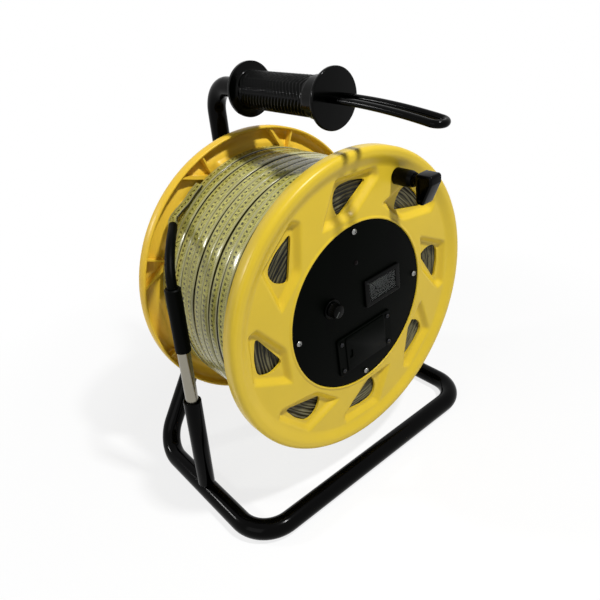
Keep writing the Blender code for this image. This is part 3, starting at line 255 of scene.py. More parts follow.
# Frame tube
TUBE_RADIUS = 0.0105
BASE_HEIGHT = 0.0105
BASE_HALF_WIDTH = 0.160
BASE_FRONT_Y = -0.0911
BASE_REAR_Y = 0.0996
BASE_CORNER_RADIUS = 0.035
LEG_TOP_X = 0.019
LEG_TOP_HEIGHT = 0.195
UPRIGHT_Y = 0.1266
UPRIGHT_RADIUS = 0.010
UPRIGHT_BOTTOM = 0.170
UPRIGHT_BEND_RADIUS = 0.028
TUBE_SIDES = 40

# Handle and loop
HANDLE_HEIGHT = 0.3945
GRIP_FRONT_Y = -0.0604
GRIP_REAR_Y = 0.0621
GRIP_RADIUS = 0.0178
GRIP_COLLAR_RADIUS = 0.0188
GRIP_COLLAR_LENGTH = 0.018
GRIP_DISC_RADIUS = 0.0262
GRIP_DISC_THICKNESS = 0.004
GRIP_DISC_LAND = 0.0005
GRIP_FLARE_LENGTH = 0.003
GRIP_FLARE_STEPS = 12
GRIP_BORE = 0.0103
GRIP_EDGE = 0.0014
GRIP_STEP = 0.001
GRIP_SIDES = 120
GRIP_ROWS = 150
RIDGE_DEPTH = 0.0016
RIDGE_PITCH = 0.0046
RIDGE_SLANT = 0.0036
RIDGE_FADE = (16, 40)
RIDGE_CREST_SHARE = 0.6
LOOP_ROD_RADIUS = 0.003
LOOP_HALF_WIDTH = 0.0075
LOOP_LENGTH = 0.1110
LOOP_RISE = 0.0011
LOOP_DROOP = 0.0080
LOOP_INSIDE = 0.0027
LOOP_STEPS = 24

# Probe
PROBE_PLACE = (-0.1605, 0.0046, 0.0217)
PROBE_LEAN = math.radians(2.46)
PROBE_FRAME = Matrix.Translation(PROBE_PLACE) @ Matrix.Rotation(PROBE_LEAN, 4, "Y")
PROBE_EDGE = 0.0008
HOLDER_RADIUS = 0.009
HOLDER_BORE = 0.0069
HOLDER_LENGTH = 0.109
HOLDER_FLOOR = 0.003
PROBE_RADIUS = 0.0063
PROBE_TIP_RADIUS = 0.0048
PROBE_TIP_BOTTOM = 0.0033
PROBE_TIP_NOSE = 0.6
PROBE_TIP_SHOULDER = 0.0073
PROBE_TIP_TOP = 0.0193
PROBE_TIP_ROUNDING = 0.002
PROBE_TOP = 0.167
PROBE_NECK_RADIUS = 0.0042
PROBE_NECK_TOP = 0.187
SLEEVE_RADIUS = 0.0075
SLEEVE_BOTTOM = 0.1673
SLEEVE_TOP = 0.2333
SLEEVE_BORE = 0.0053
SLEEVE_EDGE = 0.001
BOOT_RADIUS = 0.0050
BOOT_END_SHARE = 0.84
BOOT_INSIDE = 0.016
BOOT_STRAIGHT = 0.003
BOOT_ROUTE = [(-0.1470, 0.0095, 0.2680), (-0.1390, 0.0195, 0.2790), (-0.1285, 0.0325, 0.2870),
              (-0.1180, 0.0465, 0.2905), (-0.1150, 0.0512, 0.2914)]
LEAD_ROUTE = [(-0.1147, 0.0517, 0.2915), (-0.1105, 0.0583, 0.2926), (-0.1070, 0.0622, 0.2943),
              (-0.0995, 0.0634, 0.2988), (-0.0895, 0.0636, 0.3045), (-0.0810, 0.0636, 0.3114),
              (-0.0720, 0.0636, 0.3175)]
LEAD_UP = (-0.65, 0, 0.75)

# Every material's mottle and grain, and the metals' brush lines
MOTTLE_SCALE = 28.0
MOTTLE_DETAIL = 5.0
MOTTLE_ROUGHNESS = 0.6
ROUGHNESS_SPREAD = 0.16
GRAIN_DEPTH = 0.0005
BRUSH_STRENGTH = 0.08
BRUSH_DEPTH = 0.0004

# The tape's print: bands as shares of its width, and spans as shares of one figure or dot
JACKET_BAND = (0.035, 0.965)
PALE_BAND = (0.18, 0.84)
FIGURE_BAND = (0.46, 0.70)
DOT_BAND = (0.22, 0.36)
FIGURES_PER_TICK = 2.0
FIGURE_SPAN = (0.10, 0.62)
STROKE_LEVEL = 0.46
DOTS_PER_TICK = 6.0
DOT_SPAN = (0.15, 0.55)
DOT_INK = 0.55
WEAR_GAIN = 3.4
WEAR_OFFSET = -1.25
INK = (50, 48, 22)
BAND_WORN = (132, 127, 64)
JACKET = (154, 150, 104)
# Painted shade: the dark colour of the jacket's edges stands in for the shade in the gaps between wraps
JACKET_EDGE_SHADE = (40, 38, 20)

# The stripes on the winding's sides, with painted shade in the gaps between the layers
STRIPE_WANDER = 1.6
STRIPE_GAIN = 2.6
STRIPE_OFFSET = -0.28
STRIPE_GAP_SHADE = (9, 9, 6)

# The meter's dial, with reaches in metres from the pivot, and its lens
DIAL_PIVOT_DROP = 0.0065
DIAL_HALF_ANGLE = 0.78
DIAL_TICKS = 7.6
DIAL_TICK_SHARE = 0.22
DIAL_TICK_REACH = (0.0118, 0.0134)
DIAL_ARC_REACH = (0.0114, 0.0118)
DIAL_INK = (18, 18, 18)
LENS_ALPHA = 0.2
LENS_ROUGHNESS = 0.05

# Lamps as name, place, target, size and power, and the sky
LAMPS = [("key", (0.14, -0.66, 1.38), (0, 0, 0.2), 0.10, 19.0),
         ("fill", (-1.2, -0.35, 0.70), (0, 0, 0.2), 0.8, 3.0),
         ("glint", (-0.95, 0.80, 0.80), (0, 0, 0.25), 0.12, 5.0)]
SKY_COLOUR = (0.95, 0.97, 1.0, 1)
SKY_STRENGTH = 0.07


def linear(colour):
    """An ordinary 0 to 255 screen colour as the linear colour that a shader takes."""
    return (*[(value / 255) ** 2.2 for value in colour], 1)


def add_node(tree, kind, values=None, **settings):
    """Adds a node, with its settings and the values of its inputs."""
    made = tree.nodes.new(kind)
    for key, value in settings.items():
        setattr(made, key, value)
    for key, value in (values or {}).items():
        made.inputs[key].default_value = value
    return made


def calculate(tree, operation, first, second=0.0, third=0.0):
    """A Math node of links or numbers. Returns its output."""
    made = add_node(tree, "ShaderNodeMath", operation=operation)
    for index, value in enumerate((first, second, third)):
        if isinstance(value, (int, float)):
            made.inputs[index].default_value = value
        else:
            tree.links.new(value, made.inputs[index])
    return made.outputs[0]


def blend_colours(tree, factor, first, second):
    """A Mix node between two colours or links. Returns its output."""
    made = add_node(tree, "ShaderNodeMix", data_type="RGBA")
    tree.links.new(factor, made.inputs["Factor"])
    for key, value in (("A", first), ("B", second)):
        socket = next(s for s in made.inputs if s.name == key and s.type == "RGBA")
        if isinstance(value, tuple):
            socket.default_value = value
        else:
            tree.links.new(value, socket)
    return next(s for s in made.outputs if s.type == "RGBA")


def noise(tree, vector, scale, detail=2.0, roughness=0.5):
    """A noise texture at a vector. Returns its level."""
    values = {"Scale": scale, "Detail": detail, "Roughness": roughness}
    made = add_node(tree, "ShaderNodeTexNoise", values)
    tree.links.new(vector, made.inputs["Vector"])
    return made.outputs["Fac"]


def stretched(tree, vector, scale):
    """A vector with its axes scaled."""
    made = add_node(tree, "ShaderNodeMapping", {"Scale": scale})
    tree.links.new(vector, made.inputs["Vector"])
    return made.outputs["Vector"]


def separated(tree, vector):
    """The X, Y and Z of a vector."""
    made = add_node(tree, "ShaderNodeSeparateXYZ")
    tree.links.new(vector, made.inputs[0])
    return made.outputs["X"], made.outputs["Y"], made.outputs["Z"]


def add_relief(tree, level, strength, distance):
    """Gives a material's surface a relief that follows a level."""
    made = add_node(tree, "ShaderNodeBump", {"Strength": strength, "Distance": distance})
    tree.links.new(level, made.inputs["Height"])
    tree.links.new(made.outputs["Normal"], tree.nodes["Principled BSDF"].inputs["Normal"])


def base_colour(tree):
    """The input that takes a material's colour."""
    return tree.nodes["Principled BSDF"].inputs["Base Color"]


def surface(name, colour, roughness, metallic=0.0, specular=0.5, mottle=0.06, grain=900,
            bump=0.02):
    """A material whose colour and roughness are gently mottled and whose surface has a fine grain."""
    made = bpy.data.materials.new(name)
    made.use_nodes = True
    tree = made.node_tree
    shader = tree.nodes["Principled BSDF"]
    shader.inputs["Metallic"].default_value = metallic
    shader.inputs["Specular IOR Level"].default_value = specular
    place = add_node(tree, "ShaderNodeTexCoord").outputs["Object"]
    cloud = noise(tree, place, MOTTLE_SCALE, MOTTLE_DETAIL, MOTTLE_ROUGHNESS)
    dark = linear([value * (1 - mottle) for value in colour])
    pale = linear([min(255, value * (1 + mottle)) for value in colour])
    tree.links.new(blend_colours(tree, cloud, dark, pale), base_colour(tree))
    spread = calculate(tree, "MULTIPLY_ADD", cloud, ROUGHNESS_SPREAD, roughness - ROUGHNESS_SPREAD / 2)
    tree.links.new(spread, shader.inputs["Roughness"])
    add_relief(tree, noise(tree, place, float(grain)), bump, GRAIN_DEPTH)
    return made


def brushed(name, colour, roughness, stretch):
    """A metal with fine brush lines that run along the axis with the small stretch value."""
    made = surface(name, colour, roughness, metallic=1.0, mottle=0.04, bump=0.0)
    tree = made.node_tree
    place = tree.nodes["Texture Coordinate"].outputs["Object"]
    lines = noise(tree, stretched(tree, place, stretch), 1.0, 3.0)
    add_relief(tree, lines, BRUSH_STRENGTH, BRUSH_DEPTH)
    return made


def between(tree, value, low, high):
    """1 where the value lies between two numbers, else 0."""
    above = calculate(tree, "GREATER_THAN", value, low)
    below = calculate(tree, "LESS_THAN", value, high)
    return calculate(tree, "MULTIPLY", above, below)


def tape_material():
    """The flat tape: a clear jacket over a pale band with a printed scale, with the jacket's edges darkened
    by painted shade for the gaps between wraps.

    U runs along the tape in steps of one tick, and V runs across it from 0 to 1 for each wrap.
    """
    made = surface("tape_print", (190, 184, 98), 0.2, specular=0.4, mottle=0.18, bump=0.0)
    tree = made.node_tree
    plain = base_colour(tree).links[0].from_socket
    uv = tree.nodes["Texture Coordinate"].outputs["UV"]
    along, wraps, _ = separated(tree, uv)
    across = calculate(tree, "FRACT", wraps)
    in_figure = calculate(tree, "FRACT", calculate(tree, "MULTIPLY", along, FIGURES_PER_TICK))
    in_dot = calculate(tree, "FRACT", calculate(tree, "MULTIPLY", along, DOTS_PER_TICK))
    place = stretched(tree, uv, (1.0, 2.2, 1.0))
    strokes = calculate(tree, "GREATER_THAN", noise(tree, place, 6.0, 3.0), STROKE_LEVEL)
    figures = calculate(tree, "MULTIPLY", between(tree, across, *FIGURE_BAND),
                        calculate(tree, "MULTIPLY", between(tree, in_figure, *FIGURE_SPAN), strokes))
    dots = calculate(tree, "MULTIPLY", between(tree, across, *DOT_BAND), between(tree, in_dot, *DOT_SPAN))
    ink = calculate(tree, "MAXIMUM", figures, calculate(tree, "MULTIPLY", dots, DOT_INK))
    worn = calculate(tree, "MULTIPLY_ADD", noise(tree, place, 2.6, 4.0, 0.7), WEAR_GAIN, WEAR_OFFSET)
    worn = calculate(tree, "MINIMUM", calculate(tree, "MAXIMUM", worn, 0.0), 1.0)
    band = blend_colours(tree, worn, linear(BAND_WORN), plain)
    printed = blend_colours(tree, ink, band, linear(INK))
    jacket = blend_colours(tree, between(tree, across, *PALE_BAND), linear(JACKET), printed)
    # Painted shade: this mask darkens the jacket's edges, where the gaps between wraps lie in shade
    edge = calculate(tree, "SUBTRACT", 1.0, between(tree, across, *JACKET_BAND))
    tree.links.new(blend_colours(tree, edge, jacket, linear(JACKET_EDGE_SHADE)), base_colour(tree))
    return made


def tape_side_material():
    """The winding's sides, where the edges of the layers show as grey and olive stripes, with near-black
    painted shade in the gaps between them.
    """
    made = surface("tape_edges", (104, 100, 76), 0.45, specular=0.2, mottle=0.3, bump=0.02)
    tree = made.node_tree
    plain = base_colour(tree).links[0].from_socket
    uv = tree.nodes["Texture Coordinate"].outputs["UV"]
    _, layers, _ = separated(tree, uv)
    wave = noise(tree, stretched(tree, uv, (0.25, 0.9, 1.0)), 1.0, 1.0)
    level = calculate(tree, "MULTIPLY_ADD", wave, STRIPE_WANDER, layers)
    stripe = calculate(tree, "ABSOLUTE", calculate(tree, "SUBTRACT", calculate(tree, "FRACT", level), 0.5))
    lit = calculate(tree, "MULTIPLY_ADD", stripe, STRIPE_GAIN, STRIPE_OFFSET)
    lit = calculate(tree, "SMOOTH_MIN", lit, 1.0, 0.2)
    # Painted shade: the near-black gap colour darkens the stripes between the layers
    tree.links.new(blend_colours(tree, lit, linear(STRIPE_GAP_SHADE), plain), base_colour(tree))
    return made


def dial_material():
    """The meter's dial: a grey card with an arc of graduations round the needle's pivot."""
    made = surface("dial_card", (98, 102, 99), 0.55, specular=0.1, mottle=0.03, bump=0.0)
    tree = made.node_tree
    plain = base_colour(tree).links[0].from_socket
    pivot = DRUM @ Vector((METER_CENTRE[0], 0, METER_CENTRE[1] - DIAL_PIVOT_DROP))
    place_x, _, place_z = separated(tree, tree.nodes["Texture Coordinate"].outputs["Object"])
    x = calculate(tree, "SUBTRACT", place_x, pivot.x)
    z = calculate(tree, "SUBTRACT", place_z, pivot.z)
    reach = calculate(tree, "SQRT", calculate(tree, "MULTIPLY_ADD", x, x, calculate(tree, "MULTIPLY", z, z)))
    angle = calculate(tree, "ARCTAN2", x, z)
    tick = calculate(tree, "FRACT", calculate(tree, "MULTIPLY", angle, DIAL_TICKS))
    spoke = calculate(tree, "LESS_THAN", tick, DIAL_TICK_SHARE)
    ticks = calculate(tree, "MULTIPLY", spoke, between(tree, reach, *DIAL_TICK_REACH))
    arc = calculate(tree, "MAXIMUM", ticks, between(tree, reach, *DIAL_ARC_REACH))
    ink = calculate(tree, "MULTIPLY", arc, between(tree, angle, -DIAL_HALF_ANGLE, DIAL_HALF_ANGLE))
    tree.links.new(blend_colours(tree, ink, plain, linear(DIAL_INK)), base_colour(tree))
    return made


def clear_material():
    """The meter's lens: mostly see-through, with a glossy face."""
    made = bpy.data.materials.new("lens_clear")
    made.use_nodes = True
    tree = made.node_tree
    shader = tree.nodes["Principled BSDF"]
    shader.inputs["Alpha"].default_value = LENS_ALPHA
    shader.inputs["Roughness"].default_value = LENS_ROUGHNESS
    haze = noise(tree, add_node(tree, "ShaderNodeTexCoord").outputs["Object"], 60.0)
    tint = blend_colours(tree, haze, linear((46, 50, 48)), linear((56, 60, 58)))
    tree.links.new(tint, base_colour(tree))
    return made


YELLOW = surface("yellow_moulded", (209, 179, 50), 0.32, specular=0.24, mottle=0.03, grain=1400, bump=0.03)
# The same yellow moulding as the front, given a deeper orange tone that paints the shade and the light
# thrown back inside the rear flange
YELLOW_SHADED = surface("yellow_moulded_rear_painted_shade", (222, 182, 56), 0.34, specular=0.24, mottle=0.05, grain=1400,
                        bump=0.03)
TUBE_BLACK = surface("tube_gloss_black", (5, 5, 5), 0.14, specular=0.055, mottle=0.15, grain=500, bump=0.01)
PLASTIC_BLACK = surface("plastic_black", (6, 7, 6), 0.3, specular=0.05, mottle=0.15, bump=0.03)
RUBBER_BLACK = surface("rubber_black", (6, 8, 6), 0.45, specular=0.035, mottle=0.15, bump=0.05)
GRIP_BLACK = surface("grip_black", (5, 6, 5), 0.16, specular=0.08, mottle=0.15, bump=0.03)
PANEL_BLACK = surface("panel_satin_black", (6, 9, 6), 0.4, specular=0.02, mottle=0.1, grain=2600, bump=0.05)
STEEL = surface("steel_bright", (136, 136, 134), 0.22, metallic=1.0, mottle=0.05, bump=0.01)
STEEL_DARK = surface("steel_black_oxide", (48, 48, 50), 0.3, metallic=1.0, mottle=0.08, bump=0.01)
STAINLESS = brushed("stainless_brushed", (140, 136, 124), 0.24, (60.0, 60.0, 2200.0))
BRONZE = surface("bronze_sintered", (150, 112, 58), 0.4, metallic=1.0, mottle=0.12, bump=0.05)
TAPE = tape_material()
TAPE_SIDE = tape_side_material()
DIAL = dial_material()
NEEDLE = surface("needle_black", (16, 16, 18), 0.4, specular=0.1)
CLEAR = clear_material()
LAMP = surface("lamp_smoked", (14, 8, 8), 0.15, specular=0.06)
BOARD = surface("board_green", (30, 95, 55), 0.5, mottle=0.15)
BATTERY = surface("battery_grey", (60, 62, 66), 0.35, mottle=0.08)
GREY_MARK = surface("mark_grey", (70, 72, 70), 0.5, specular=0.1, mottle=0.05)
SLOT_MATERIALS = {
    "yellow_plastic": YELLOW, "black_tube": TUBE_BLACK, "black_plastic": PLASTIC_BLACK,
    "black_rubber": RUBBER_BLACK, "panel_black": PANEL_BLACK, "steel": STEEL, "stainless": STAINLESS,
    "bronze": BRONZE, "tape": TAPE, "dial": DIAL, "needle": NEEDLE, "clear_plastic": CLEAR, "lamp": LAMP,
    "circuit_board": BOARD, "battery_case": BATTERY,
}


def paint_nodes():
    """Gives every CAD node that is still shown its own finish."""
    slots = {part["node"]: part["material_slot"] for part in frame["record"]["subparts"]}
    for name, node in frame["nodes"].items():
        node.data.materials.clear()
        node.data.materials.append(SLOT_MATERIALS[slots[name]])


def finish_piece(name, shape, finish, body, nodes, matrix=ROOT, sharp=40):
    """Makes an object of a mesh or bmesh, with smooth faces, on its body in place of its CAD nodes."""
    mesh = to_mesh(name, shape) if isinstance(shape, bmesh.types.BMesh) else shape
    mesh.transform(matrix)
    mesh.update()
    mesh.shade_smooth()
    mesh.set_sharp_from_angle(angle=math.radians(sharp))
    made = bpy.data.objects.new(name, mesh)
    bpy.context.collection.objects.link(made)
    for one in finish if isinstance(finish, list) else [finish]:
        mesh.materials.append(one)
    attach(made, body)
    if nodes:
        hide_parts(*nodes)
    return made


def to_mesh(name, shape):
    """Turns a bmesh into a mesh with its faces outwards."""
    bmesh.ops.recalc_face_normals(shape, faces=shape.faces)
    mesh = bpy.data.meshes.new(name)
    shape.to_mesh(mesh)
    shape.free()
    return mesh


def cut(mesh, cutter):
    """Cuts the bmesh cutter from a mesh and returns the result."""
    scene = bpy.context.scene
    target = bpy.data.objects.new("cut_target", mesh)
    tool = bpy.data.objects.new("cut_tool", to_mesh("cut_tool", cutter))
    for one in (target, tool):
        scene.collection.objects.link(one)
    step = target.modifiers.new("cut", "BOOLEAN")
    step.operation = "DIFFERENCE"
    step.object = tool
    depsgraph = bpy.context.evaluated_depsgraph_get()
    result = bpy.data.meshes.new_from_object(target.evaluated_get(depsgraph))
    for one in (target, tool):
        bpy.data.objects.remove(one, do_unlink=True)
    return result


def skin(shape, sections, closed=False):
    """Joins sections of equally many points with faces, and caps both ends unless it is closed."""
    rings = [[shape.verts.new(point) for point in section] for section in sections]
    pairs = list(zip(rings, rings[1:]))
    if closed:
        pairs.append((rings[-1], rings[0]))
    for first, second in pairs:
        count = len(first)
        for index in range(count):
            after = (index + 1) % count
            shape.faces.new((first[index], first[after], second[after], second[index]))
    if not closed:
        shape.faces.new(rings[0])
        shape.faces.new(rings[-1])
    return shape


def turned(profile, steps=64, axis="Y", shape=None):
    """Turns a profile of (radius, height) points about an axis. A zero radius closes the end."""
    shape = shape or bmesh.new()

    def point(radius, height, angle):
        across, up = radius * math.cos(angle), radius * math.sin(angle)
        return (across, height, up) if axis == "Y" else (across, up, height)

    angles = [2 * math.pi * (index + 0.5) / steps for index in range(steps)]
    rings = []
    for radius, height in profile:
        if radius == 0:
            rings.append([shape.verts.new(point(0, height, 0))])
        else:
            rings.append([shape.verts.new(point(radius, height, angle)) for angle in angles])
    pairs = list(zip(rings, rings[1:]))
    if profile[0][0] > 0:
        pairs.append((rings[-1], rings[0]))
    for first, second in pairs:
        for index in range(steps):
            after = (index + 1) % steps
            if len(first) == 1:
                shape.faces.new((first[0], second[after], second[index]))
            elif len(second) == 1:
                shape.faces.new((first[index], first[after], second[0]))
            else:
                shape.faces.new((first[index], first[after], second[after], second[index]))
    return shape


def bend(start, corner, end, steps):
    """Points along a soft curve from start to end, pulled towards a corner."""
    shares = [step / steps for step in range(steps + 1)]
    return [tuple(start * (1 - t) ** 2 + corner * 2 * t * (1 - t) + end * t ** 2) for t in shares]


def rounded(profile, rounding, steps=4):
    """Rounds the inner corners of an open profile with arcs no larger than the sides allow."""
    points = [Vector(corner) for corner in profile]
    result = [tuple(points[0])]
    for before, here, after in zip(points, points[1:], points[2:]):
        back, ahead = before - here, after - here
        too_short = min(back.length, ahead.length) < SHORTEST_SIDE
        if too_short or abs(back.normalized().cross(ahead.normalized())) < STRAIGHT_LIMIT:
            result.append(tuple(here))
            continue
        reach = min(rounding, back.length * ROUNDING_SHARE, ahead.length * ROUNDING_SHARE)
        result += bend(here + back.normalized() * reach, here, here + ahead.normalized() * reach, steps)
    result.append(tuple(points[-1]))
    return result


def rectangle(size, centre=(0, 0), rounding=0.0, shrink=0.0):
    """A rectangle's outline, with round corners where a rounding is given, and shrunk on every side."""
    half_x, half_z = (size[0] - 2 * shrink) / 2, (size[1] - 2 * shrink) / 2
    corners = [(-half_x, -half_z), (half_x, -half_z), (half_x, half_z), (-half_x, half_z)]
    corners = [(centre[0] + x, centre[1] + z) for x, z in corners]
    return round_corners(corners, rounding) if rounding else corners


def round_corners(corners, rounding, steps=6):
    """Replaces each corner of a convex outline by an arc of the given radius."""
    outline = []
    for index, corner in enumerate(corners):
        here = Vector(corner)
        back = (Vector(corners[index - 1]) - here).normalized()
        ahead = (Vector(corners[(index + 1) % len(corners)]) - here).normalized()
        half_angle = back.angle(ahead) / 2
        reach = rounding / math.tan(half_angle)
        middle = here + (back + ahead).normalized() * rounding / math.sin(half_angle)
        start = here + back * reach - middle
        swing = -start.angle_signed(here + ahead * reach - middle)
        for step in range(steps + 1):
            outline.append(tuple(middle + Matrix.Rotation(swing * step / steps, 2) @ start))
    return outline


def soften(corners, reaches, steps=8):
    """Replaces each corner of a closed outline by a soft curve that starts at its own reach from it."""
    outline = []
    for index, (corner, reach) in enumerate(zip(corners, reaches)):
        here = Vector(corner)
        back = Vector(corners[index - 1]) - here
        ahead = Vector(corners[(index + 1) % len(corners)]) - here
        start = here + back.normalized() * min(reach, HALF_SIDE_SHARE * back.length)
        end = here + ahead.normalized() * min(reach, HALF_SIDE_SHARE * ahead.length)
        outline += bend(start, here, end, steps)
    return outline


def inset(corners, amount):
    """Moves each side of a convex outline inwards. A negative amount moves it outwards."""
    moved = []
    count = len(corners)
    for index in range(count):
        before, here, after = (Vector(corners[(index + k) % count]) for k in (-1, 0, 1))
        first, second = (here - before).normalized(), (after - here).normalized()
        first_in, second_in = Vector((-first.y, first.x)), Vector((-second.y, second.x))
        middle = (first_in + second_in).normalized()
        moved.append(tuple(here + middle * amount / middle.dot(first_in)))
    return moved


def prism(outline, front, back, shape=None):
    """Extrudes an outline in X and Z along Y."""
    return skin(shape or bmesh.new(), [[(x, y, z) for x, z in outline] for y in (front, back)])


def nested(outlines):
    """Skins a row of (outline, y) pairs into one solid."""
    return skin(bmesh.new(), [[(x, y, z) for x, z in outline] for outline, y in outlines])


def circle(radius, sides):
    """A circle as a section for a swept tube."""
    angles = [2 * math.pi * (index + 0.5) / sides for index in range(sides)]
    return [(radius * math.cos(angle), radius * math.sin(angle)) for angle in angles]


def fillet(corners, radius, steps=20):
    """Rounds the inner corners of a path in space with arcs."""
    path = [Vector(corners[0])]
    for index in range(1, len(corners) - 1):
        here = Vector(corners[index])
        back = (Vector(corners[index - 1]) - here).normalized()
        ahead = (Vector(corners[index + 1]) - here).normalized()
        half_angle = back.angle(ahead) / 2
        middle = here + (back + ahead).normalized() * radius / math.sin(half_angle)
        start = here + back * radius / math.tan(half_angle) - middle
        axis = start.cross(here + ahead * radius / math.tan(half_angle) - middle).normalized()
        swing = math.pi - 2 * half_angle
        for step in range(steps + 1):
            path.append(middle + Matrix.Rotation(swing * step / steps, 3, axis) @ start)
    path.append(Vector(corners[-1]))
    return path


def smooth_route(points, steps=8):
    """Points along a smooth curve through the given ones."""
    knots = [Vector(point) for point in points]
    knots = [2 * knots[0] - knots[1]] + knots + [2 * knots[-1] - knots[-2]]
    route = []
    for a, b, c, d in zip(knots, knots[1:], knots[2:], knots[3:]):
        for step in range(steps):
            t = step / steps
            route.append(0.5 * (2 * b + (c - a) * t + (2 * a - 5 * b + 4 * c - d) * t ** 2
                                + (3 * b - a - 3 * c + d) * t ** 3))
    route.append(knots[-2])
    return route


def swept(path, section, up, scales=None):
    """Sweeps a section along a path. U is the length along it in ticks, and V the place across it."""
    path = [Vector(point) for point in path]
    last = len(path) - 1
    up = Vector(up)
    width = max(u for u, v in section) * 2
    sections, lengths = [], [0.0]
    for index, here in enumerate(path):
        ahead = (path[min(index + 1, last)] - here).normalized()
        behind = (here - path[max(index - 1, 0)]).normalized()
        along = (ahead + behind).normalized()
        normal = (up - along * up.dot(along)).normalized()
        side = along.cross(normal)
        size = scales[index] if scales else 1
        sections.append([here + (side * u + normal * v) * size for u, v in section])
        if index:
            lengths.append(lengths[-1] + (here - path[index - 1]).length)
    shape = skin(bmesh.new(), sections)
    shape.verts.index_update()
    layer = shape.loops.layers.uv.new("UVMap")
    count = len(section)
    for face in shape.faces:
        for loop in face.loops:
            ring, index = divmod(loop.vert.index, count)
            loop[layer].uv = (lengths[ring] / TAPE_TICK, section[index][0] / width + 0.5)
    return shape


def grid_mesh(name, rings, closed, uvs=None, removed=None, extra_faces=()):
    """Makes a mesh of rings of points, each ring closed on itself, with optional UVs per ring point."""
    ring_count, count, _ = rings.shape
    faces = []
    for ring in range(ring_count if closed else ring_count - 1):
        after_ring = (ring + 1) % ring_count
        for index in range(count):
            if removed is not None and removed[ring, index]:
                continue
            after = (index + 1) % count
            faces.append((ring * count + index, ring * count + after,
                          after_ring * count + after, after_ring * count + index))
    faces += list(extra_faces)
    if not closed:
        faces.append(tuple(range(count))[::-1])
        faces.append(tuple(range((ring_count - 1) * count, ring_count * count)))
    mesh = bpy.data.meshes.new(name)
    mesh.from_pydata([tuple(point) for point in rings.reshape(-1, 3)], [], faces)
    if uvs is not None:
        layer = mesh.uv_layers.new(name="UVMap")
        values = []
        for face in faces:
            turn_end = any(i % count == count - 1 for i in face) and any(i % count == 0 for i in face)
            for i in face:
                ring, index = divmod(i, count)
                u, v = uvs[ring, index]
                values += [u + (uvs[0, 1, 0] - uvs[0, 0, 0]) * count if turn_end and index == 0 else u, v]
        layer.data.foreach_set("uv", values)
    mesh.validate()
    return mesh


def pocket_frame(x, z, index):
    """Places as (clockwise, outward) on the radius of one of the flange's pockets."""
    angle = 2 * math.pi * index / POCKET_COUNT
    return x * math.sin(angle) - z * math.cos(angle), x * math.cos(angle) + z * math.sin(angle)


def inside_distance(clockwise, outward, corners, softness):
    """How far places lie inside a convex outline, with its corners softened."""
    total = 0
    for index, (start_c, start_o) in enumerate(corners):
        end_c, end_o = corners[(index + 1) % len(corners)]
        length = math.hypot(end_c - start_c, end_o - start_o)
        away = ((end_c - start_c) * (outward - start_o) - (end_o - start_o) * (clockwise - start_c)) / length
        total = total + np.exp(np.minimum(-away / softness, EXPONENT_LIMIT))
    return -softness * np.log(total)


def ease(share):
    """A soft step from 0 to 1."""
    share = np.clip(share, 0, 1)
    return share * share * (3 - 2 * share)


def front_surface(x, z):
    """The flange's front at places (x, z): flat web, rising rim and sunken pockets. Outwards is -Y."""
    radius = np.hypot(x, z)
    rim = -RIM_CREST * ease((radius - WEB_RADIUS) / (RIM_TOP_RADIUS - WEB_RADIUS))
    sunk = np.zeros_like(radius)
    for index in range(POCKET_COUNT):
        clockwise, outward = pocket_frame(x, z, index)
        depth = inside_distance(clockwise, outward, POCKET_CORNERS, POCKET_SOFTNESS)
        sunk = np.maximum(sunk, ease(depth / POCKET_SLOPE))
    return rim * (1 - sunk) + POCKET_DEPTH * sunk


def nearest_on(outline, point):
    """The nearest point of a closed outline."""
    best = None
    for index, start in enumerate(outline):
        start = np.array(start)
        side = np.array(outline[(index + 1) % len(outline)]) - start
        share = np.clip(np.dot(point - start, side) / np.dot(side, side), 0, 1)
        found = start + share * side
        distance = np.hypot(*(found - point))
        if best is None or distance < best[0]:
            best = (distance, found)
    return best[1]


def round_angles(count):
    """Evenly spread angles of a whole turn."""
    return 2 * np.pi * np.arange(count) / count


def ring_points(radius, y, angles):
    """Points round the Y axis. The radius and y are numbers, or have a value for each angle."""
    return np.stack([radius * np.cos(angles), y + 0 * angles, radius * np.sin(angles)], -1)


def flange_rings(before, after):
    """Ring radii and fixed heights of a whole flange section, and the first front and back grid rings."""
    grid = list(np.linspace(GRID_INNER, GRID_OUTER, FLANGE_RINGS))
    corner = []
    for step in range(1, RIM_ARC_STEPS + 1):
        angle = math.pi / 2 * step / RIM_ARC_STEPS
        corner.append((GRID_OUTER + (FLANGE_RADIUS - GRID_OUTER) * math.sin(angle),
                       -RIM_CREST + (RIM_CREST - RIM_EDGE_DEPTH) * (1 - math.cos(angle))))
    inner = FLANGE_RADIUS - RIM_WALL
    lip = [(FLANGE_RADIUS, LIP_DEPTH - LIP_ROUNDING), (FLANGE_RADIUS - LIP_ROUNDING, LIP_DEPTH),
           (inner + LIP_ROUNDING, LIP_DEPTH), (inner, LIP_DEPTH - LIP_ROUNDING), (inner, RIM_EDGE_DEPTH),
           (inner - RIM_FOOT_INSET, -RIM_FOOT_RISE)]
    rings = list(before)
    front_start = len(rings)
    rings += [(radius, None) for radius in grid]
    rings += corner + lip
    back_start = len(rings)
    rings += [(radius, None) for radius in reversed(grid)]
    rings += list(after)
    return rings, front_start, back_start


def snap_to_openings(x, z, hole):
    """Moves the grid's points beside each opening onto its outline."""
    outlines = [pocket_outline(index) for index in range(POCKET_COUNT)]
    for ring, index in boundary_points(hole):
        point = np.array([x[ring, index], z[ring, index]])
        places = [nearest_on(outline, point) for outline in outlines]
        x[ring, index], z[ring, index] = min(places, key=lambda place: np.hypot(*(place - point)))


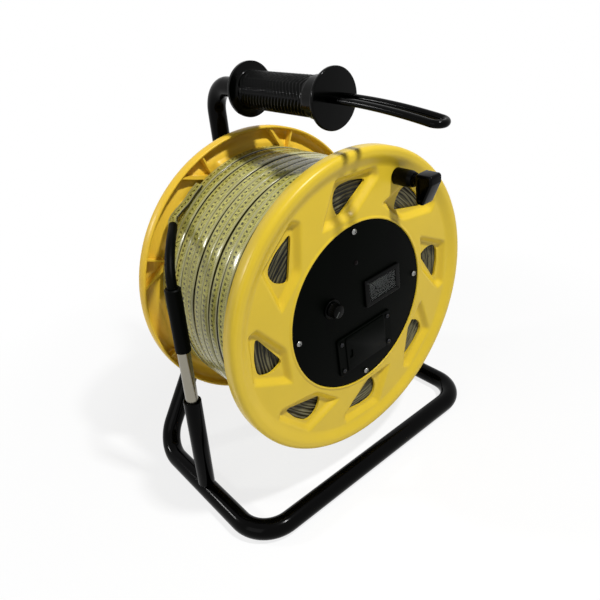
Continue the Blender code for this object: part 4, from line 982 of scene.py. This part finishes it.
def opening_walls(hole, front_start, last):
    """Faces that join the front and the back round each opening."""
    def wall(first, second):
        rows = ((front_start + first[0], first[1]), (front_start + second[0], second[1]),
                (last - second[0], second[1]), (last - first[0], first[1]))
        return tuple(row * FLANGE_ANGLES + index % FLANGE_ANGLES for row, index in rows)

    walls = []
    for ring, index in zip(*np.nonzero(hole)):
        sides = [((ring, index), (ring, index + 1), (ring - 1, index)),
                 ((ring + 1, index + 1), (ring + 1, index), (ring + 1, index)),
                 ((ring, index + 1), (ring + 1, index + 1), (ring, index + 1)),
                 ((ring + 1, index), (ring, index), (ring, index - 1))]
        for first, second, neighbour in sides:
            if not hole[neighbour[0], neighbour[1] % FLANGE_ANGLES]:
                walls.append(wall(first, second))
    return walls


def flange_mesh(name, before, after):
    """One flange as a fine closed skin with soft pockets, open windows and inner ribs."""
    rings, front_start, back_start = flange_rings(before, after)
    angles = round_angles(FLANGE_ANGLES)
    radii = np.array([radius for radius, height in rings])
    x = radii[:, None] * np.cos(angles)[None, :]
    z = radii[:, None] * np.sin(angles)[None, :]
    front = slice(front_start, front_start + FLANGE_RINGS)
    back = slice(back_start, back_start + FLANGE_RINGS)
    last = back_start + FLANGE_RINGS - 1
    hole = open_cells(x[front], z[front])
    snap_to_openings(x[front], z[front], hole)
    x[back], z[back] = x[front][::-1], z[front][::-1]
    y = np.empty_like(x)
    for ring, (_, height) in enumerate(rings):
        y[ring] = 0 if height is None else height
    y[front] = front_surface(x[front], z[front])
    y[back] = (y[front] + RIM_WALL)[::-1]
    removed = np.zeros(x.shape, bool)
    removed[front_start:front_start + FLANGE_RINGS - 1] = hole
    removed[back_start:last] = hole[::-1]
    walls = opening_walls(hole, front_start, last)
    mesh = grid_mesh(name, np.stack([x, y, z], -1), True, None, removed, walls)
    shape = bmesh.new()
    shape.from_mesh(mesh)
    for index in range(POCKET_COUNT):
        prism(rib_pair(index), RIB_FRONT, RIB_DEPTH, shape)
    return to_mesh(name, shape)


def pocket_outline(index):
    """Outline (x, z) of the opening in one pocket."""
    angle = 2 * math.pi * index / POCKET_COUNT
    outline = soften(OPENING_CORNERS, OPENING_REACH)
    return [(out * math.cos(angle) + clockwise * math.sin(angle),
             out * math.sin(angle) - clockwise * math.cos(angle)) for clockwise, out in outline]


def open_cells(x, z):
    """Which cells of the grid have their middle in one of the openings."""
    def middle(values):
        values = values + np.roll(values, -1, 1)
        return (values[:-1] + values[1:]) / 4

    outline = soften(OPENING_CORNERS, OPENING_REACH)
    mid_x, mid_z = middle(x), middle(z)
    hole = np.zeros(mid_x.shape, bool)
    for index in range(POCKET_COUNT):
        clockwise, outward = pocket_frame(mid_x, mid_z, index)
        hole |= inside_distance(clockwise, outward, outline, OPENING_SOFTNESS) > 0
    return hole


def boundary_points(hole):
    """Grid points with both open and solid cells round them."""
    padded = np.zeros((hole.shape[0] + 2, hole.shape[1]), int)
    padded[1:-1] = hole
    around = padded[:-1] + padded[1:]
    around = around + np.roll(around, 1, 1)
    return list(zip(*np.nonzero((around > 0) & (around < 4))))


def rib_pair(index):
    """Outline of two thin ribs that meet in a V below the rim."""
    angle = RIB_ANGLE + 2 * math.pi * index / POCKET_COUNT
    ray = Vector((math.cos(angle), math.sin(angle)))
    root = ray * RIB_ROOT_RADIUS
    straight = ray * RIB_TOP_RADIUS
    slanted = Vector((math.cos(angle + RIB_SPREAD), math.sin(angle + RIB_SPREAD))) * RIB_TOP_RADIUS
    across_straight = (straight - root).orthogonal().normalized() * RIB_THICKNESS / 2
    across_slanted = (slanted - root).orthogonal().normalized() * RIB_THICKNESS / 2
    foot = (straight - root).normalized() * RIB_THICKNESS
    fork = root + (straight - root).normalized() * 3 * RIB_THICKNESS - across_straight
    fork += (slanted - root).normalized() * RIB_THICKNESS / 2
    return [tuple(point) for point in (root + across_straight - foot, root - across_slanted - foot,
                                       slanted - across_slanted, slanted + across_slanted, fork,
                                       straight - across_straight, straight + across_straight)]


def on_drum(place, y=WEB_FACE):
    """The frame at a place (x, z) and a y on the drum."""
    return DRUM @ Matrix.Translation((place[0], y, place[1]))


def build_flanges():
    """The front flange with the panel's recess, and the rear flange with the hub."""
    recess = [(LEDGE_RADIUS, LEDGE_BACK), (LEDGE_RADIUS, LEDGE_FRONT), (RECESS_RADIUS, LEDGE_FRONT)]
    recess += [(RECESS_RADIUS + out * PANEL_LIP, -rise * PANEL_LIP) for out, rise in PANEL_LIP_SHAPE]
    recess_back = [(RECESS_RADIUS + RECESS_WALL, LEDGE_BACK)]
    front = flange_mesh("front_flange_fine", recess, recess_back)
    finish_piece("front_flange_fine", front, YELLOW, "drum", ["front_flange"],
                 on_drum((0, 0)), FLANGE_SHARPNESS)
    end = HUB_LENGTH - HUB_BOSS_HEIGHT
    hub = [(HUB_BORE, end), (HUB_BORE, -HUB_BOSS_HEIGHT), (HUB_BOSS_RADIUS, -HUB_BOSS_HEIGHT),
           (HUB_BOSS_RADIUS + 0.7 * HUB_BOSS_HEIGHT, -0.7 * HUB_BOSS_HEIGHT),
           (HUB_BOSS_RADIUS + HUB_BOSS_HEIGHT, 0)]
    hub_back = [(HUB_RADIUS + HUB_FOOT, RIM_WALL), (HUB_RADIUS, 3 * RIM_WALL), (HUB_RADIUS, end)]
    rear = flange_mesh("rear_flange_fine", hub, hub_back)
    # The rear flange takes the copy of the yellow with painted shade and reflected light
    finish_piece("rear_flange_fine", rear, YELLOW_SHADED, "drum", ["rear_flange"],
                 on_drum((0, 0), -WEB_FACE) @ Matrix.Rotation(math.pi, 4, "Z"), FLANGE_SHARPNESS)


def wrap_rings(wrap, half, angles):
    """Rings (radius, y, share) across one wrap of the winding's outer layer."""
    inward = math.sin(math.pi * wrap / (TAPE_WRAPS - 1))
    lean = WRAP_LEAN * np.sin(angles - WRAP_LEAN_ANGLE)
    wander = inward * (lean + WRAP_WANDER * np.sin(2 * angles + WANDER_PHASE * wrap))
    rise = WRAP_RISE * (np.sin(angles * 2 + RISE_PHASE * wrap) - 1)
    for share, drop in WRAP_SHAPE:
        y = -half + (wrap + share) * TAPE_PITCH + wander
        depth = drop * (WRAP_GROOVES[wrap] if share < 0.5 else WRAP_GROOVES[wrap + 1])
        yield WINDING_RADIUS + depth + rise, y, share


def build_winding():
    """The wound tape: eleven wraps that wander a little, and the layer edges on both sides."""
    half = TAPE_PITCH * TAPE_WRAPS / 2
    angles = round_angles(WINDING_ANGLES)
    along = angles * WINDING_RADIUS / TAPE_TICK
    rings, uvs, sides = [], [], []

    def add_ring(radius, y, v, is_side):
        rings.append(ring_points(radius, y, angles))
        uvs.append(np.stack([along, v + 0 * angles], -1))
        sides.append(is_side)

    def add_side(layers, outward):
        for layer in layers:
            step = LAYER_STEP if layer % 2 == 0 else 0.0
            add_ring(CORE_RADIUS + layer * LAYER_PITCH / 2, outward * (half - step), layer / 2, True)

    layers = range(2 * int((WINDING_RADIUS - CORE_RADIUS) / LAYER_PITCH))
    add_side(layers, -1)
    for wrap in range(TAPE_WRAPS):
        for radius, y, share in wrap_rings(wrap, half, angles):
            add_ring(radius, y, wrap + share, False)
    add_side(reversed(layers), 1)
    mesh = grid_mesh("tape_wound", np.array(rings), True, np.array(uvs))
    for face in mesh.polygons:
        ring = min(face.vertices) // WINDING_ANGLES
        face.material_index = 1 if sides[ring] else 0
    finish_piece("tape_wound", mesh, [TAPE, TAPE_SIDE], "drum", ["tape_winding"], DRUM, 50)


def screw_mesh(name, size, seat):
    """A pan head screw with a cross recess. Its head points to -Y and sits on y = seat."""
    head_radius, head_height, radius, length = size
    edge = seat - SCREW_EDGE * head_height
    profile = [(0, seat - head_height), (SCREW_CROWN * head_radius, seat - head_height), (head_radius, edge),
               (head_radius, seat), (radius, seat), (radius, seat + length), (0, seat + length)]
    mesh = to_mesh(name, turned(rounded(profile, SCREW_EDGE * head_radius), 32))
    for wide, high in SCREW_CROSS:
        arm = rectangle((wide * head_radius, high * head_radius))
        mesh = cut(mesh, prism(arm, seat - 2 * head_height, edge))
    return mesh


def build_panel():
    """The round panel with its cut-outs, and its four screws."""
    front, back = WEB_FACE, WEB_FACE + PANEL_THICKNESS
    profile = rounded([(0, front), (PANEL_RADIUS, front), (PANEL_RADIUS, back), (0, back)], PANEL_EDGE)
    mesh = to_mesh("panel_disc", turned(profile, 128))
    for hole in (rectangle(METER_BODY, METER_CENTRE, 0.0, -SEAT_GAP),
                 rectangle(BATTERY_OPENING, BATTERY_CENTRE)):
        mesh = cut(mesh, prism(hole, front - PANEL_THICKNESS, back + PANEL_THICKNESS))
    finish_piece("panel_disc", mesh, PANEL_BLACK, "drum", ["control_panel"], DRUM)
    places = [(PANEL_SCREW_CIRCLE * x, PANEL_SCREW_CIRCLE * z)
              for x, z in ((1, 0), (0, 1), (-1, 0), (0, -1))]
    build_screws("panel_screw", places, PANEL_SCREW, front - SEAT_GAP, PANEL_SCREW_TURNS)


def build_screws(name, places, size, seat, turns):
    """A row of screws, each turned its own way, in place of the CAD ones."""
    finish = STEEL_DARK if name == "cover_screw" else STEEL
    for index, (place, turn) in enumerate(zip(places, turns), 1):
        mesh = screw_mesh(f"{name}_fine_{index}", size, seat)
        matrix = on_drum(place, 0) @ Matrix.Rotation(math.radians(turn), 4, "Y")
        finish_piece(f"{name}_fine_{index}", mesh, finish, "drum", [f"{name}_{index}"], matrix)


def build_meter():
    """The meter's case with its rounded bezel round a sunken window."""
    back = WEB_FACE - SEAT_GAP
    bezel_front = back - METER_BEZEL_HEIGHT
    shelf = bezel_front + LENS_THICKNESS + SEAT_GAP
    cavity = (METER_WINDOW[0] - 2 * METER_STEP, METER_WINDOW[1] - 2 * METER_STEP)

    def outline(size, rounding=METER_CORNER, shrink=0.0):
        return rectangle(size, METER_CENTRE, rounding, shrink)

    levels = [(outline(cavity), shelf + METER_CAVITY_DEPTH), (outline(cavity), shelf),
              (outline(METER_WINDOW), shelf), (outline(METER_WINDOW), bezel_front + METER_EDGE),
              (outline(METER_WINDOW, WINDOW_CORNER, -METER_EDGE), bezel_front)]
    for step in range(METER_EDGE_STEPS + 1):
        angle = math.pi / 2 * step / METER_EDGE_STEPS
        levels.append((outline(METER_BEZEL, BEZEL_ROUNDING, METER_EDGE * (1 - math.sin(angle))),
                       bezel_front + METER_EDGE * (1 - math.cos(angle))))
    levels += [(outline(METER_BEZEL, BEZEL_ROUNDING), back), (outline(METER_BODY), back),
               (outline(METER_BODY), WEB_FACE + METER_DEPTH)]
    finish_piece("meter_case_fine", nested(levels), PLASTIC_BLACK, "drum", ["meter_case"],
                 DRUM)


def build_switch():
    """The fluted knob with a grey line, on its plain collar."""
    matrix = on_drum(SWITCH_CENTRE)
    collar_front = -SEAT_GAP - COLLAR_HEIGHT
    collar = [(COLLAR_BORE, -SEAT_GAP), (COLLAR_RADIUS, -SEAT_GAP),
              (COLLAR_RADIUS, collar_front + COLLAR_EDGE),
              (COLLAR_RADIUS - COLLAR_EDGE, collar_front), (COLLAR_BORE, collar_front)]
    finish_piece("switch_collar_fine", turned(collar), PLASTIC_BLACK, "drum", ["switch_collar"],
                 matrix)
    skirt = collar_front - SEAT_GAP
    top = skirt - KNOB_HEIGHT
    angles = round_angles(KNOB_FLUTES * 8)
    flutes = KNOB_FLUTE_DEPTH * (0.5 - 0.5 * np.cos(KNOB_FLUTES * angles)) ** 2
    steps = [(POLE_RADIUS, skirt, 0.0), (KNOB_RADIUS, skirt, 0.0), (KNOB_RADIUS, skirt - KNOB_SKIRT, 0.0),
             (KNOB_RADIUS - KNOB_STEP[0], skirt - KNOB_STEP[1], 1.0),
             (KNOB_TOP_RADIUS, top + KNOB_SHOULDER, 1.0),
             (KNOB_TOP_RADIUS - KNOB_CROWN[0], top + KNOB_CROWN[1], 0.6),
             (KNOB_TOP_RADIUS - KNOB_CROWN_INSET, top, 0.0), (POLE_RADIUS, top, 0.0)]
    rings = [ring_points(radius - fluted * flutes, height, angles) for radius, height, fluted in steps]
    mesh = grid_mesh("switch_knob_fine", np.array(rings), False)
    turned_matrix = matrix @ Matrix.Rotation(KNOB_REST, 4, "Y")
    finish_piece("switch_knob_fine", mesh, PLASTIC_BLACK, "switch", ["switch_knob"],
                 turned_matrix)
    middle = KNOB_TOP_RADIUS - KNOB_MARK_INSET - KNOB_MARK[1] / 2
    mark = prism(rectangle(KNOB_MARK, (0, middle), KNOB_MARK_CORNER), top - KNOB_MARK_RISE,
                 top + KNOB_MARK_ROOT)
    finish_piece("switch_mark", mark, GREY_MARK, "switch", [], turned_matrix)


def build_lamp():
    """The small round lamp."""
    dome = [(LAMP_RADIUS * math.cos(a), WEB_FACE - LAMP_DOME * math.sin(a))
            for a in (math.pi / 2 * step / LAMP_STEPS for step in range(LAMP_STEPS))]
    profile = [(0, WEB_FACE + LAMP_DEPTH), (LAMP_RADIUS, WEB_FACE + LAMP_DEPTH)] + dome
    profile.append((0, WEB_FACE - LAMP_DOME))
    finish_piece("lamp_fine", turned(profile, 32), LAMP, "drum", ["indicator_lamp"],
                 on_drum(LAMP_CENTRE, 0))


def build_cover():
    """The battery cover: a plate with a raised field, a finger notch and four screws."""
    back = WEB_FACE - SEAT_GAP
    front = back - COVER_THICKNESS
    field = front - COVER_FIELD_HEIGHT
    levels = []
    for size, corner, foot, face in ((COVER_SIZE, COVER_CORNER, back, front),
                                     (COVER_FIELD, COVER_FIELD_CORNER, front, field)):
        outline = rectangle(size, BATTERY_CENTRE, corner)
        levels += [(outline, foot), (outline, face + COVER_EDGE),
                   (rectangle(size, BATTERY_CENTRE, corner, COVER_EDGE), face)]
    notch = (BATTERY_CENTRE[0] + COVER_NOTCH_X, BATTERY_CENTRE[1])
    notch_outline = rectangle(COVER_NOTCH_SIZE, notch, COVER_NOTCH_SIZE[0] * HALF_SIDE_SHARE)
    mesh = cut(to_mesh("battery_cover_fine", nested(levels)),
               prism(notch_outline, field - COVER_NOTCH_DEPTH, field + COVER_NOTCH_DEPTH))
    finish_piece("battery_cover_fine", mesh, PANEL_BLACK, "drum", ["battery_cover"], DRUM)
    half_x, half_z = COVER_SCREW_SPACING[0] / 2, COVER_SCREW_SPACING[1] / 2
    places = [(BATTERY_CENTRE[0] + sx * half_x, BATTERY_CENTRE[1] + sz * half_z)
              for sx, sz in ((-1, 1), (1, 1), (1, -1), (-1, -1))]
    build_screws("cover_screw", places, COVER_SCREW, front - SEAT_GAP, COVER_SCREW_TURNS)


def build_crank():
    """The crank's post on the flange, and its handle with a ringed neck and a five-sided head."""
    matrix = on_drum(CRANK_PLACE)
    barrel_front = -SEAT_GAP - CRANK_BARREL_LENGTH
    spindle_front = barrel_front - CRANK_SPINDLE_LENGTH
    post = [(0, spindle_front), (CRANK_SPINDLE_RADIUS, spindle_front), (CRANK_SPINDLE_RADIUS, barrel_front),
            (0.85 * CRANK_BARREL_RADIUS, barrel_front), (CRANK_BARREL_RADIUS, 0.8 * barrel_front),
            (CRANK_BARREL_RADIUS, -SEAT_GAP), (CRANK_SPINDLE_RADIUS, -SEAT_GAP),
            (CRANK_SPINDLE_RADIUS, CRANK_NUT_BACK), (0, CRANK_NUT_BACK)]
    finish_piece("crank_post_fine", turned(rounded(post, CRANK_POST_ROUNDING), LATHE_SIDES), PLASTIC_BLACK,
                 "drum", ["crank_post"], matrix)
    neck_back = barrel_front - SEAT_GAP
    neck_front = neck_back - CRANK_NECK_LENGTH
    ring = CRANK_NECK_LENGTH / CRANK_NECK_RINGS
    bore = CRANK_SPINDLE_RADIUS + SEAT_GAP
    neck = [(bore, neck_back)]
    for index in range(CRANK_NECK_RINGS):
        radius = CRANK_NECK_RADIUS if index % 2 == 0 else CRANK_NECK_GROOVE * CRANK_NECK_RADIUS
        neck += [(radius, neck_back - index * ring), (radius, neck_back - (index + 1) * ring)]
    neck += [(CRANK_NECK_RADIUS, neck_front - CRANK_NECK_ROOT), (bore, neck_front - CRANK_NECK_ROOT)]
    head = to_mesh("crank_head", crank_head(neck_front, neck_front - CRANK_HEAD_LENGTH))
    bore_end = spindle_front - SEAT_GAP
    bore_shape = turned([(0, bore_end), (bore, bore_end), (bore, neck_back), (0, neck_back)], LATHE_SIDES)
    shape = bmesh.new()
    shape.from_mesh(cut(head, bore_shape))
    turned(neck, LATHE_SIDES, "Y", shape)
    finish_piece("crank_handle_fine", shape, TUBE_BLACK, "crank", ["crank_handle"],
                 matrix, 30)


def crank_head(back, front):
    """The crank's head: a five-sided side view with rounded edges and a shallow recess on each side."""
    side_view = [(back, CRANK_HEAD_TOP), (front, CRANK_HEAD_TOP), (front, CRANK_HEAD_TOP - CRANK_HEAD_NOSE),
                 (back - CRANK_HEAD_FOOT, -CRANK_HEAD_BOTTOM), (back, -CRANK_HEAD_BOTTOM)]
    half = CRANK_HEAD_WIDTH / 2
    levels = [(half - CRANK_RECESS_DEPTH, CRANK_RECESS_EDGE + CRANK_RECESS_SLOPE), (half, CRANK_RECESS_EDGE)]
    for step in range(CRANK_EDGE_STEPS + 1):
        angle = math.pi / 2 * step / CRANK_EDGE_STEPS
        levels.append((half - CRANK_HEAD_ROUNDING * (1 - math.cos(angle)),
                       CRANK_HEAD_ROUNDING * (1 - math.sin(angle))))
    levels = [(-x, grow) for x, grow in levels] + [(x, grow) for x, grow in reversed(levels)]
    sections = []
    for x, grow in levels:
        outline = round_corners(inset(side_view, grow), CRANK_HEAD_CORNER)
        sections.append([(x, y, z) for y, z in outline])
    return skin(bmesh.new(), sections)


def build_frame():
    """The bent base with its two legs, and the upright that becomes the handle's bar."""
    corners = []
    for side in (-1, 1):
        half = [(side * LEG_TOP_X, UPRIGHT_Y, LEG_TOP_HEIGHT),
                (side * BASE_HALF_WIDTH, BASE_REAR_Y, BASE_HEIGHT),
                (side * BASE_HALF_WIDTH, BASE_FRONT_Y, BASE_HEIGHT)]
        corners += half if side < 0 else half[::-1]
    tip = (0, GRIP_FRONT_Y + GRIP_DISC_THICKNESS + SEAT_GAP, HANDLE_HEIGHT)
    bar = [(0, UPRIGHT_Y, UPRIGHT_BOTTOM), (0, UPRIGHT_Y, HANDLE_HEIGHT), tip]
    tubes = [("base_tube", corners, BASE_CORNER_RADIUS, TUBE_RADIUS, (0, 0, 1), "base_frame"),
             ("upright_bar", bar, UPRIGHT_BEND_RADIUS, UPRIGHT_RADIUS, (1, 0, 0), "upright_tube")]
    for name, path, bend_radius, radius, up, node in tubes:
        tube = swept(fillet(path, bend_radius), circle(radius, TUBE_SIDES), up)
        finish_piece(name, tube, TUBE_BLACK, "frame", [node])


def grip_profile():
    """The grip's outline from its bore at the front, round the discs and back, with a ridge share."""
    disc_back = GRIP_FRONT_Y + GRIP_DISC_THICKNESS
    collar_end = disc_back + GRIP_COLLAR_LENGTH
    flare = GRIP_REAR_Y - GRIP_DISC_THICKNESS - GRIP_FLARE_LENGTH
    spread = GRIP_DISC_RADIUS - GRIP_RADIUS
    front = [(POLE_RADIUS, GRIP_FRONT_Y), (GRIP_DISC_RADIUS, GRIP_FRONT_Y), (GRIP_DISC_RADIUS, disc_back),
             (GRIP_COLLAR_RADIUS, disc_back), (GRIP_COLLAR_RADIUS, collar_end),
             (GRIP_RADIUS, collar_end + GRIP_STEP)]
    front = [(radius, y, 0.0) for radius, y in rounded(front, GRIP_EDGE)]
    ridged = []
    for row in range(1, GRIP_ROWS):
        share = row / GRIP_ROWS
        y = collar_end + GRIP_STEP + (flare - collar_end - GRIP_STEP) * share
        ridged.append((GRIP_RADIUS, y, min(1.0, share * RIDGE_FADE[0], (1 - share) * RIDGE_FADE[1])))
    flared = []
    for step in range(GRIP_FLARE_STEPS + 1):
        share = step / GRIP_FLARE_STEPS
        flared.append((GRIP_RADIUS + spread * share ** 4, flare + GRIP_FLARE_LENGTH * share, 0.0))
    back = rounded([(GRIP_DISC_RADIUS, flare + GRIP_FLARE_LENGTH + GRIP_DISC_LAND),
                    (GRIP_DISC_RADIUS, GRIP_REAR_Y), (GRIP_BORE, GRIP_REAR_Y), (GRIP_BORE, disc_back),
                    (POLE_RADIUS, disc_back)], GRIP_EDGE)
    return front + ridged + flared + [(radius, y, 0.0) for radius, y in back]


def build_handle():
    """The grip with herringbone ridges between its two discs, and the wire loop in front."""
    matrix = ROOT @ Matrix.Translation((0, 0, HANDLE_HEIGHT))
    angles = round_angles(GRIP_SIDES)
    slant = np.abs(np.mod(angles / (np.pi / 2), 1) - 0.5) * 4 - 1
    rings = []
    for radius, y, ridged in grip_profile():
        wave = np.mod((y + RIDGE_SLANT * slant) / RIDGE_PITCH, 1)
        valley = RIDGE_DEPTH * ease(np.abs(wave - 0.5) * 4 - RIDGE_CREST_SHARE)
        rings.append(ring_points(radius - ridged * valley, y, angles))
    mesh = grid_mesh("grip_ridged", np.array(rings), True)
    finish_piece("grip_ridged", mesh, GRIP_BLACK, "frame", ["handle_grip"], matrix, 50)
    loop = swept(loop_path(), circle(LOOP_ROD_RADIUS, LOOP_STEPS), (0, 0, 1))
    finish_piece("loop_rod", loop, TUBE_BLACK, "frame", ["hanging_loop"], matrix)


def loop_path():
    """The hairpin's centre line: out along one side, round its end, and back along the other."""
    straight = LOOP_LENGTH - LOOP_HALF_WIDTH

    def point(x, out):
        return (x, GRIP_FRONT_Y - out, LOOP_RISE - LOOP_DROOP * (max(out, 0) / straight) ** 2)

    outs = [-LOOP_INSIDE] + [straight * index / LOOP_STEPS for index in range(LOOP_STEPS + 1)]
    left = [point(-LOOP_HALF_WIDTH, out) for out in outs]
    turn = []
    for index in range(1, LOOP_STEPS):
        angle = math.pi * index / LOOP_STEPS
        turn.append(point(-LOOP_HALF_WIDTH * math.cos(angle), straight + LOOP_HALF_WIDTH * math.sin(angle)))
    return left + turn + [(-x, y, z) for x, y, z in reversed(left)]


def build_probe():
    """The holder, with the probe's tip, body and sleeve in it."""
    body_bottom = PROBE_TIP_TOP + SEAT_GAP
    holder = [(0, 0), (HOLDER_RADIUS, 0), (HOLDER_RADIUS, HOLDER_LENGTH), (HOLDER_BORE, HOLDER_LENGTH),
              (HOLDER_BORE, HOLDER_FLOOR), (0, HOLDER_FLOOR)]
    tip = [(0, PROBE_TIP_BOTTOM), (PROBE_TIP_NOSE * PROBE_TIP_RADIUS, PROBE_TIP_BOTTOM),
           (PROBE_TIP_RADIUS, PROBE_TIP_SHOULDER), (PROBE_TIP_RADIUS, PROBE_TIP_TOP), (0, PROBE_TIP_TOP)]
    body = [(0, body_bottom), (PROBE_RADIUS, body_bottom), (PROBE_RADIUS, PROBE_TOP),
            (PROBE_NECK_RADIUS, PROBE_TOP), (PROBE_NECK_RADIUS, PROBE_NECK_TOP), (0, PROBE_NECK_TOP)]
    sleeve = [(SLEEVE_BORE, SLEEVE_BOTTOM), (SLEEVE_RADIUS, SLEEVE_BOTTOM),
              (SLEEVE_RADIUS, SLEEVE_TOP - SLEEVE_EDGE), (SLEEVE_RADIUS - SLEEVE_EDGE, SLEEVE_TOP),
              (SLEEVE_BORE, SLEEVE_TOP)]
    pieces = [("holder_tube", rounded(holder, PROBE_EDGE), TUBE_BLACK, "black_tube", "probe_holder"),
              ("probe_tip_fine", rounded(tip, PROBE_TIP_ROUNDING), PLASTIC_BLACK, "black_plastic",
               "probe_tip"),
              ("probe_body_fine", rounded(body, PROBE_EDGE), STAINLESS, "stainless", "probe_body"),
              ("probe_sleeve_fine", sleeve, RUBBER_BLACK, "black_rubber", "probe_sleeve")]
    for name, profile, finish, slot, node in pieces:
        finish_piece(name, turned(profile, LATHE_SIDES, "Z"), finish, "frame", [node],
                     ROOT @ PROBE_FRAME)


def place_camera():
    """Puts the camera where the photograph was taken from."""
    data = bpy.data.cameras.new("camera")
    data.lens = CAMERA_LENS
    data.sensor_width = CAMERA_SENSOR
    camera = bpy.data.objects.new("camera", data)
    bpy.context.collection.objects.link(camera)
    azimuth, elevation, roll = CAMERA_AZIMUTH, CAMERA_ELEVATION, CAMERA_ROLL
    back = Vector((math.sin(azimuth) * math.cos(elevation), -math.cos(azimuth) * math.cos(elevation),
                   math.sin(elevation)))
    right = Vector((math.cos(azimuth), math.sin(azimuth), 0))
    up = back.cross(right)
    right, up = (right * math.cos(roll) + up * math.sin(roll), up * math.cos(roll) - right * math.sin(roll))
    turn = Matrix((right, up, back)).transposed().to_4x4()
    camera.matrix_world = Matrix.Translation(CAMERA_TARGET + back * CAMERA_DISTANCE) @ turn
    bpy.context.scene.camera = camera


def add_lamp(name, place, target, size, power):
    """A square area lamp that shines at a target."""
    data = bpy.data.lights.new(name, "AREA")
    data.size = size
    data.energy = power
    made = bpy.data.objects.new(name, data)
    bpy.context.collection.objects.link(made)
    made.location = place
    made.rotation_euler = (Vector(target) - Vector(place)).to_track_quat("-Z", "Y").to_euler()


def build_boot():
    """The bent boot on the probe's sleeve, and the tape that leaves it."""
    straight = [PROBE_FRAME @ Vector((0, 0, SLEEVE_TOP + end))
                for end in (-BOOT_INSIDE, -BOOT_INSIDE / 2, BOOT_STRAIGHT)]
    route = smooth_route(straight + BOOT_ROUTE)
    scales = [1 - (1 - BOOT_END_SHARE) * index / (len(route) - 1) for index in range(len(route))]
    boot = swept(route, circle(BOOT_RADIUS, 24), (0, 1, 0), scales)
    finish_piece("probe_boot_fine", boot, RUBBER_BLACK, "frame", ["probe_boot"])
    section = rectangle((TAPE_WIDTH, TAPE_THICKNESS), (0, 0), TAPE_EDGE)
    lead = swept(smooth_route(LEAD_ROUTE), section, LEAD_UP)
    finish_piece("tape_lead_fine", lead, TAPE, "frame", ["tape_lead"])


def seen_directly(tree):
    """1 for rays from the camera, from glossy surfaces and through clear ones."""
    rays = add_node(tree, "ShaderNodeLightPath").outputs
    glossy_or_clear = calculate(tree, "MAXIMUM", rays["Is Glossy Ray"], rays["Is Transmission Ray"])
    return calculate(tree, "MAXIMUM", rays["Is Camera Ray"], glossy_or_clear)


def mix_shaders(tree, share, first, second, output):
    """Blends two shaders by a share, into an output node."""
    mix = add_node(tree, "ShaderNodeMixShader")
    for index, source in enumerate((share, first.outputs[0], second.outputs[0])):
        tree.links.new(source, mix.inputs[index])
    tree.links.new(mix.outputs[0], tree.nodes[output].inputs["Surface"])


def light_world():
    """A white background, with a dimmer sky that lights the object."""
    world = bpy.data.worlds.new("world")
    bpy.context.scene.world = world
    world.use_nodes = True
    tree = world.node_tree
    sky = tree.nodes["Background"]
    sky.inputs["Color"].default_value = SKY_COLOUR
    sky.inputs["Strength"].default_value = SKY_STRENGTH
    white = add_node(tree, "ShaderNodeBackground", {"Color": (1, 1, 1, 1), "Strength": 1.0})
    mix_shaders(tree, seen_directly(tree), sky, white, "World Output")


def lay_floor():
    """A large pale floor that keeps a soft shadow of the object."""
    shape = bmesh.new()
    bmesh.ops.create_grid(shape, x_segments=8, y_segments=8, size=FLOOR_SIZE)
    floor = bpy.data.objects.new("floor", to_mesh("floor", shape))
    floor.location.z = min(0.0, loaded_bounds[0][2]) - FLOOR_DROP
    bpy.context.collection.objects.link(floor)
    material = surface("floor_white", (250, 250, 250), 0.8, specular=0.0, mottle=0.004, bump=0.0)
    tree = material.node_tree
    glow = add_node(tree, "ShaderNodeEmission", {"Color": (1, 1, 1, 1), "Strength": 1.0})
    reach = add_node(tree, "ShaderNodeVectorMath", operation="LENGTH")
    tree.links.new(tree.nodes["Texture Coordinate"].outputs["Object"], reach.inputs[0])
    fade = add_node(tree, "ShaderNodeMapRange", {"From Min": FLOOR_FADE[0], "From Max": FLOOR_FADE[1],
                                                 "To Min": FLOOR_GLOW, "To Max": 1.0})
    tree.links.new(reach.outputs["Value"], fade.inputs["Value"])
    share = calculate(tree, "MULTIPLY", seen_directly(tree), fade.outputs["Result"])
    mix_shaders(tree, share, tree.nodes["Principled BSDF"], glow, "Material Output")
    floor.data.materials.append(material)


def build():
    """Builds every piece, then the camera, the lamps and the floor."""
    for step in (paint_nodes, build_flanges, build_winding, build_panel, build_meter, build_switch,
                 build_lamp, build_cover, build_crank, build_frame, build_handle, build_probe, build_boot,
                 place_camera, light_world):
        step()
    for lamp in LAMPS:
        add_lamp(*lamp)
    lay_floor()
    bpy.context.scene.view_settings.view_transform = "Standard"


build()
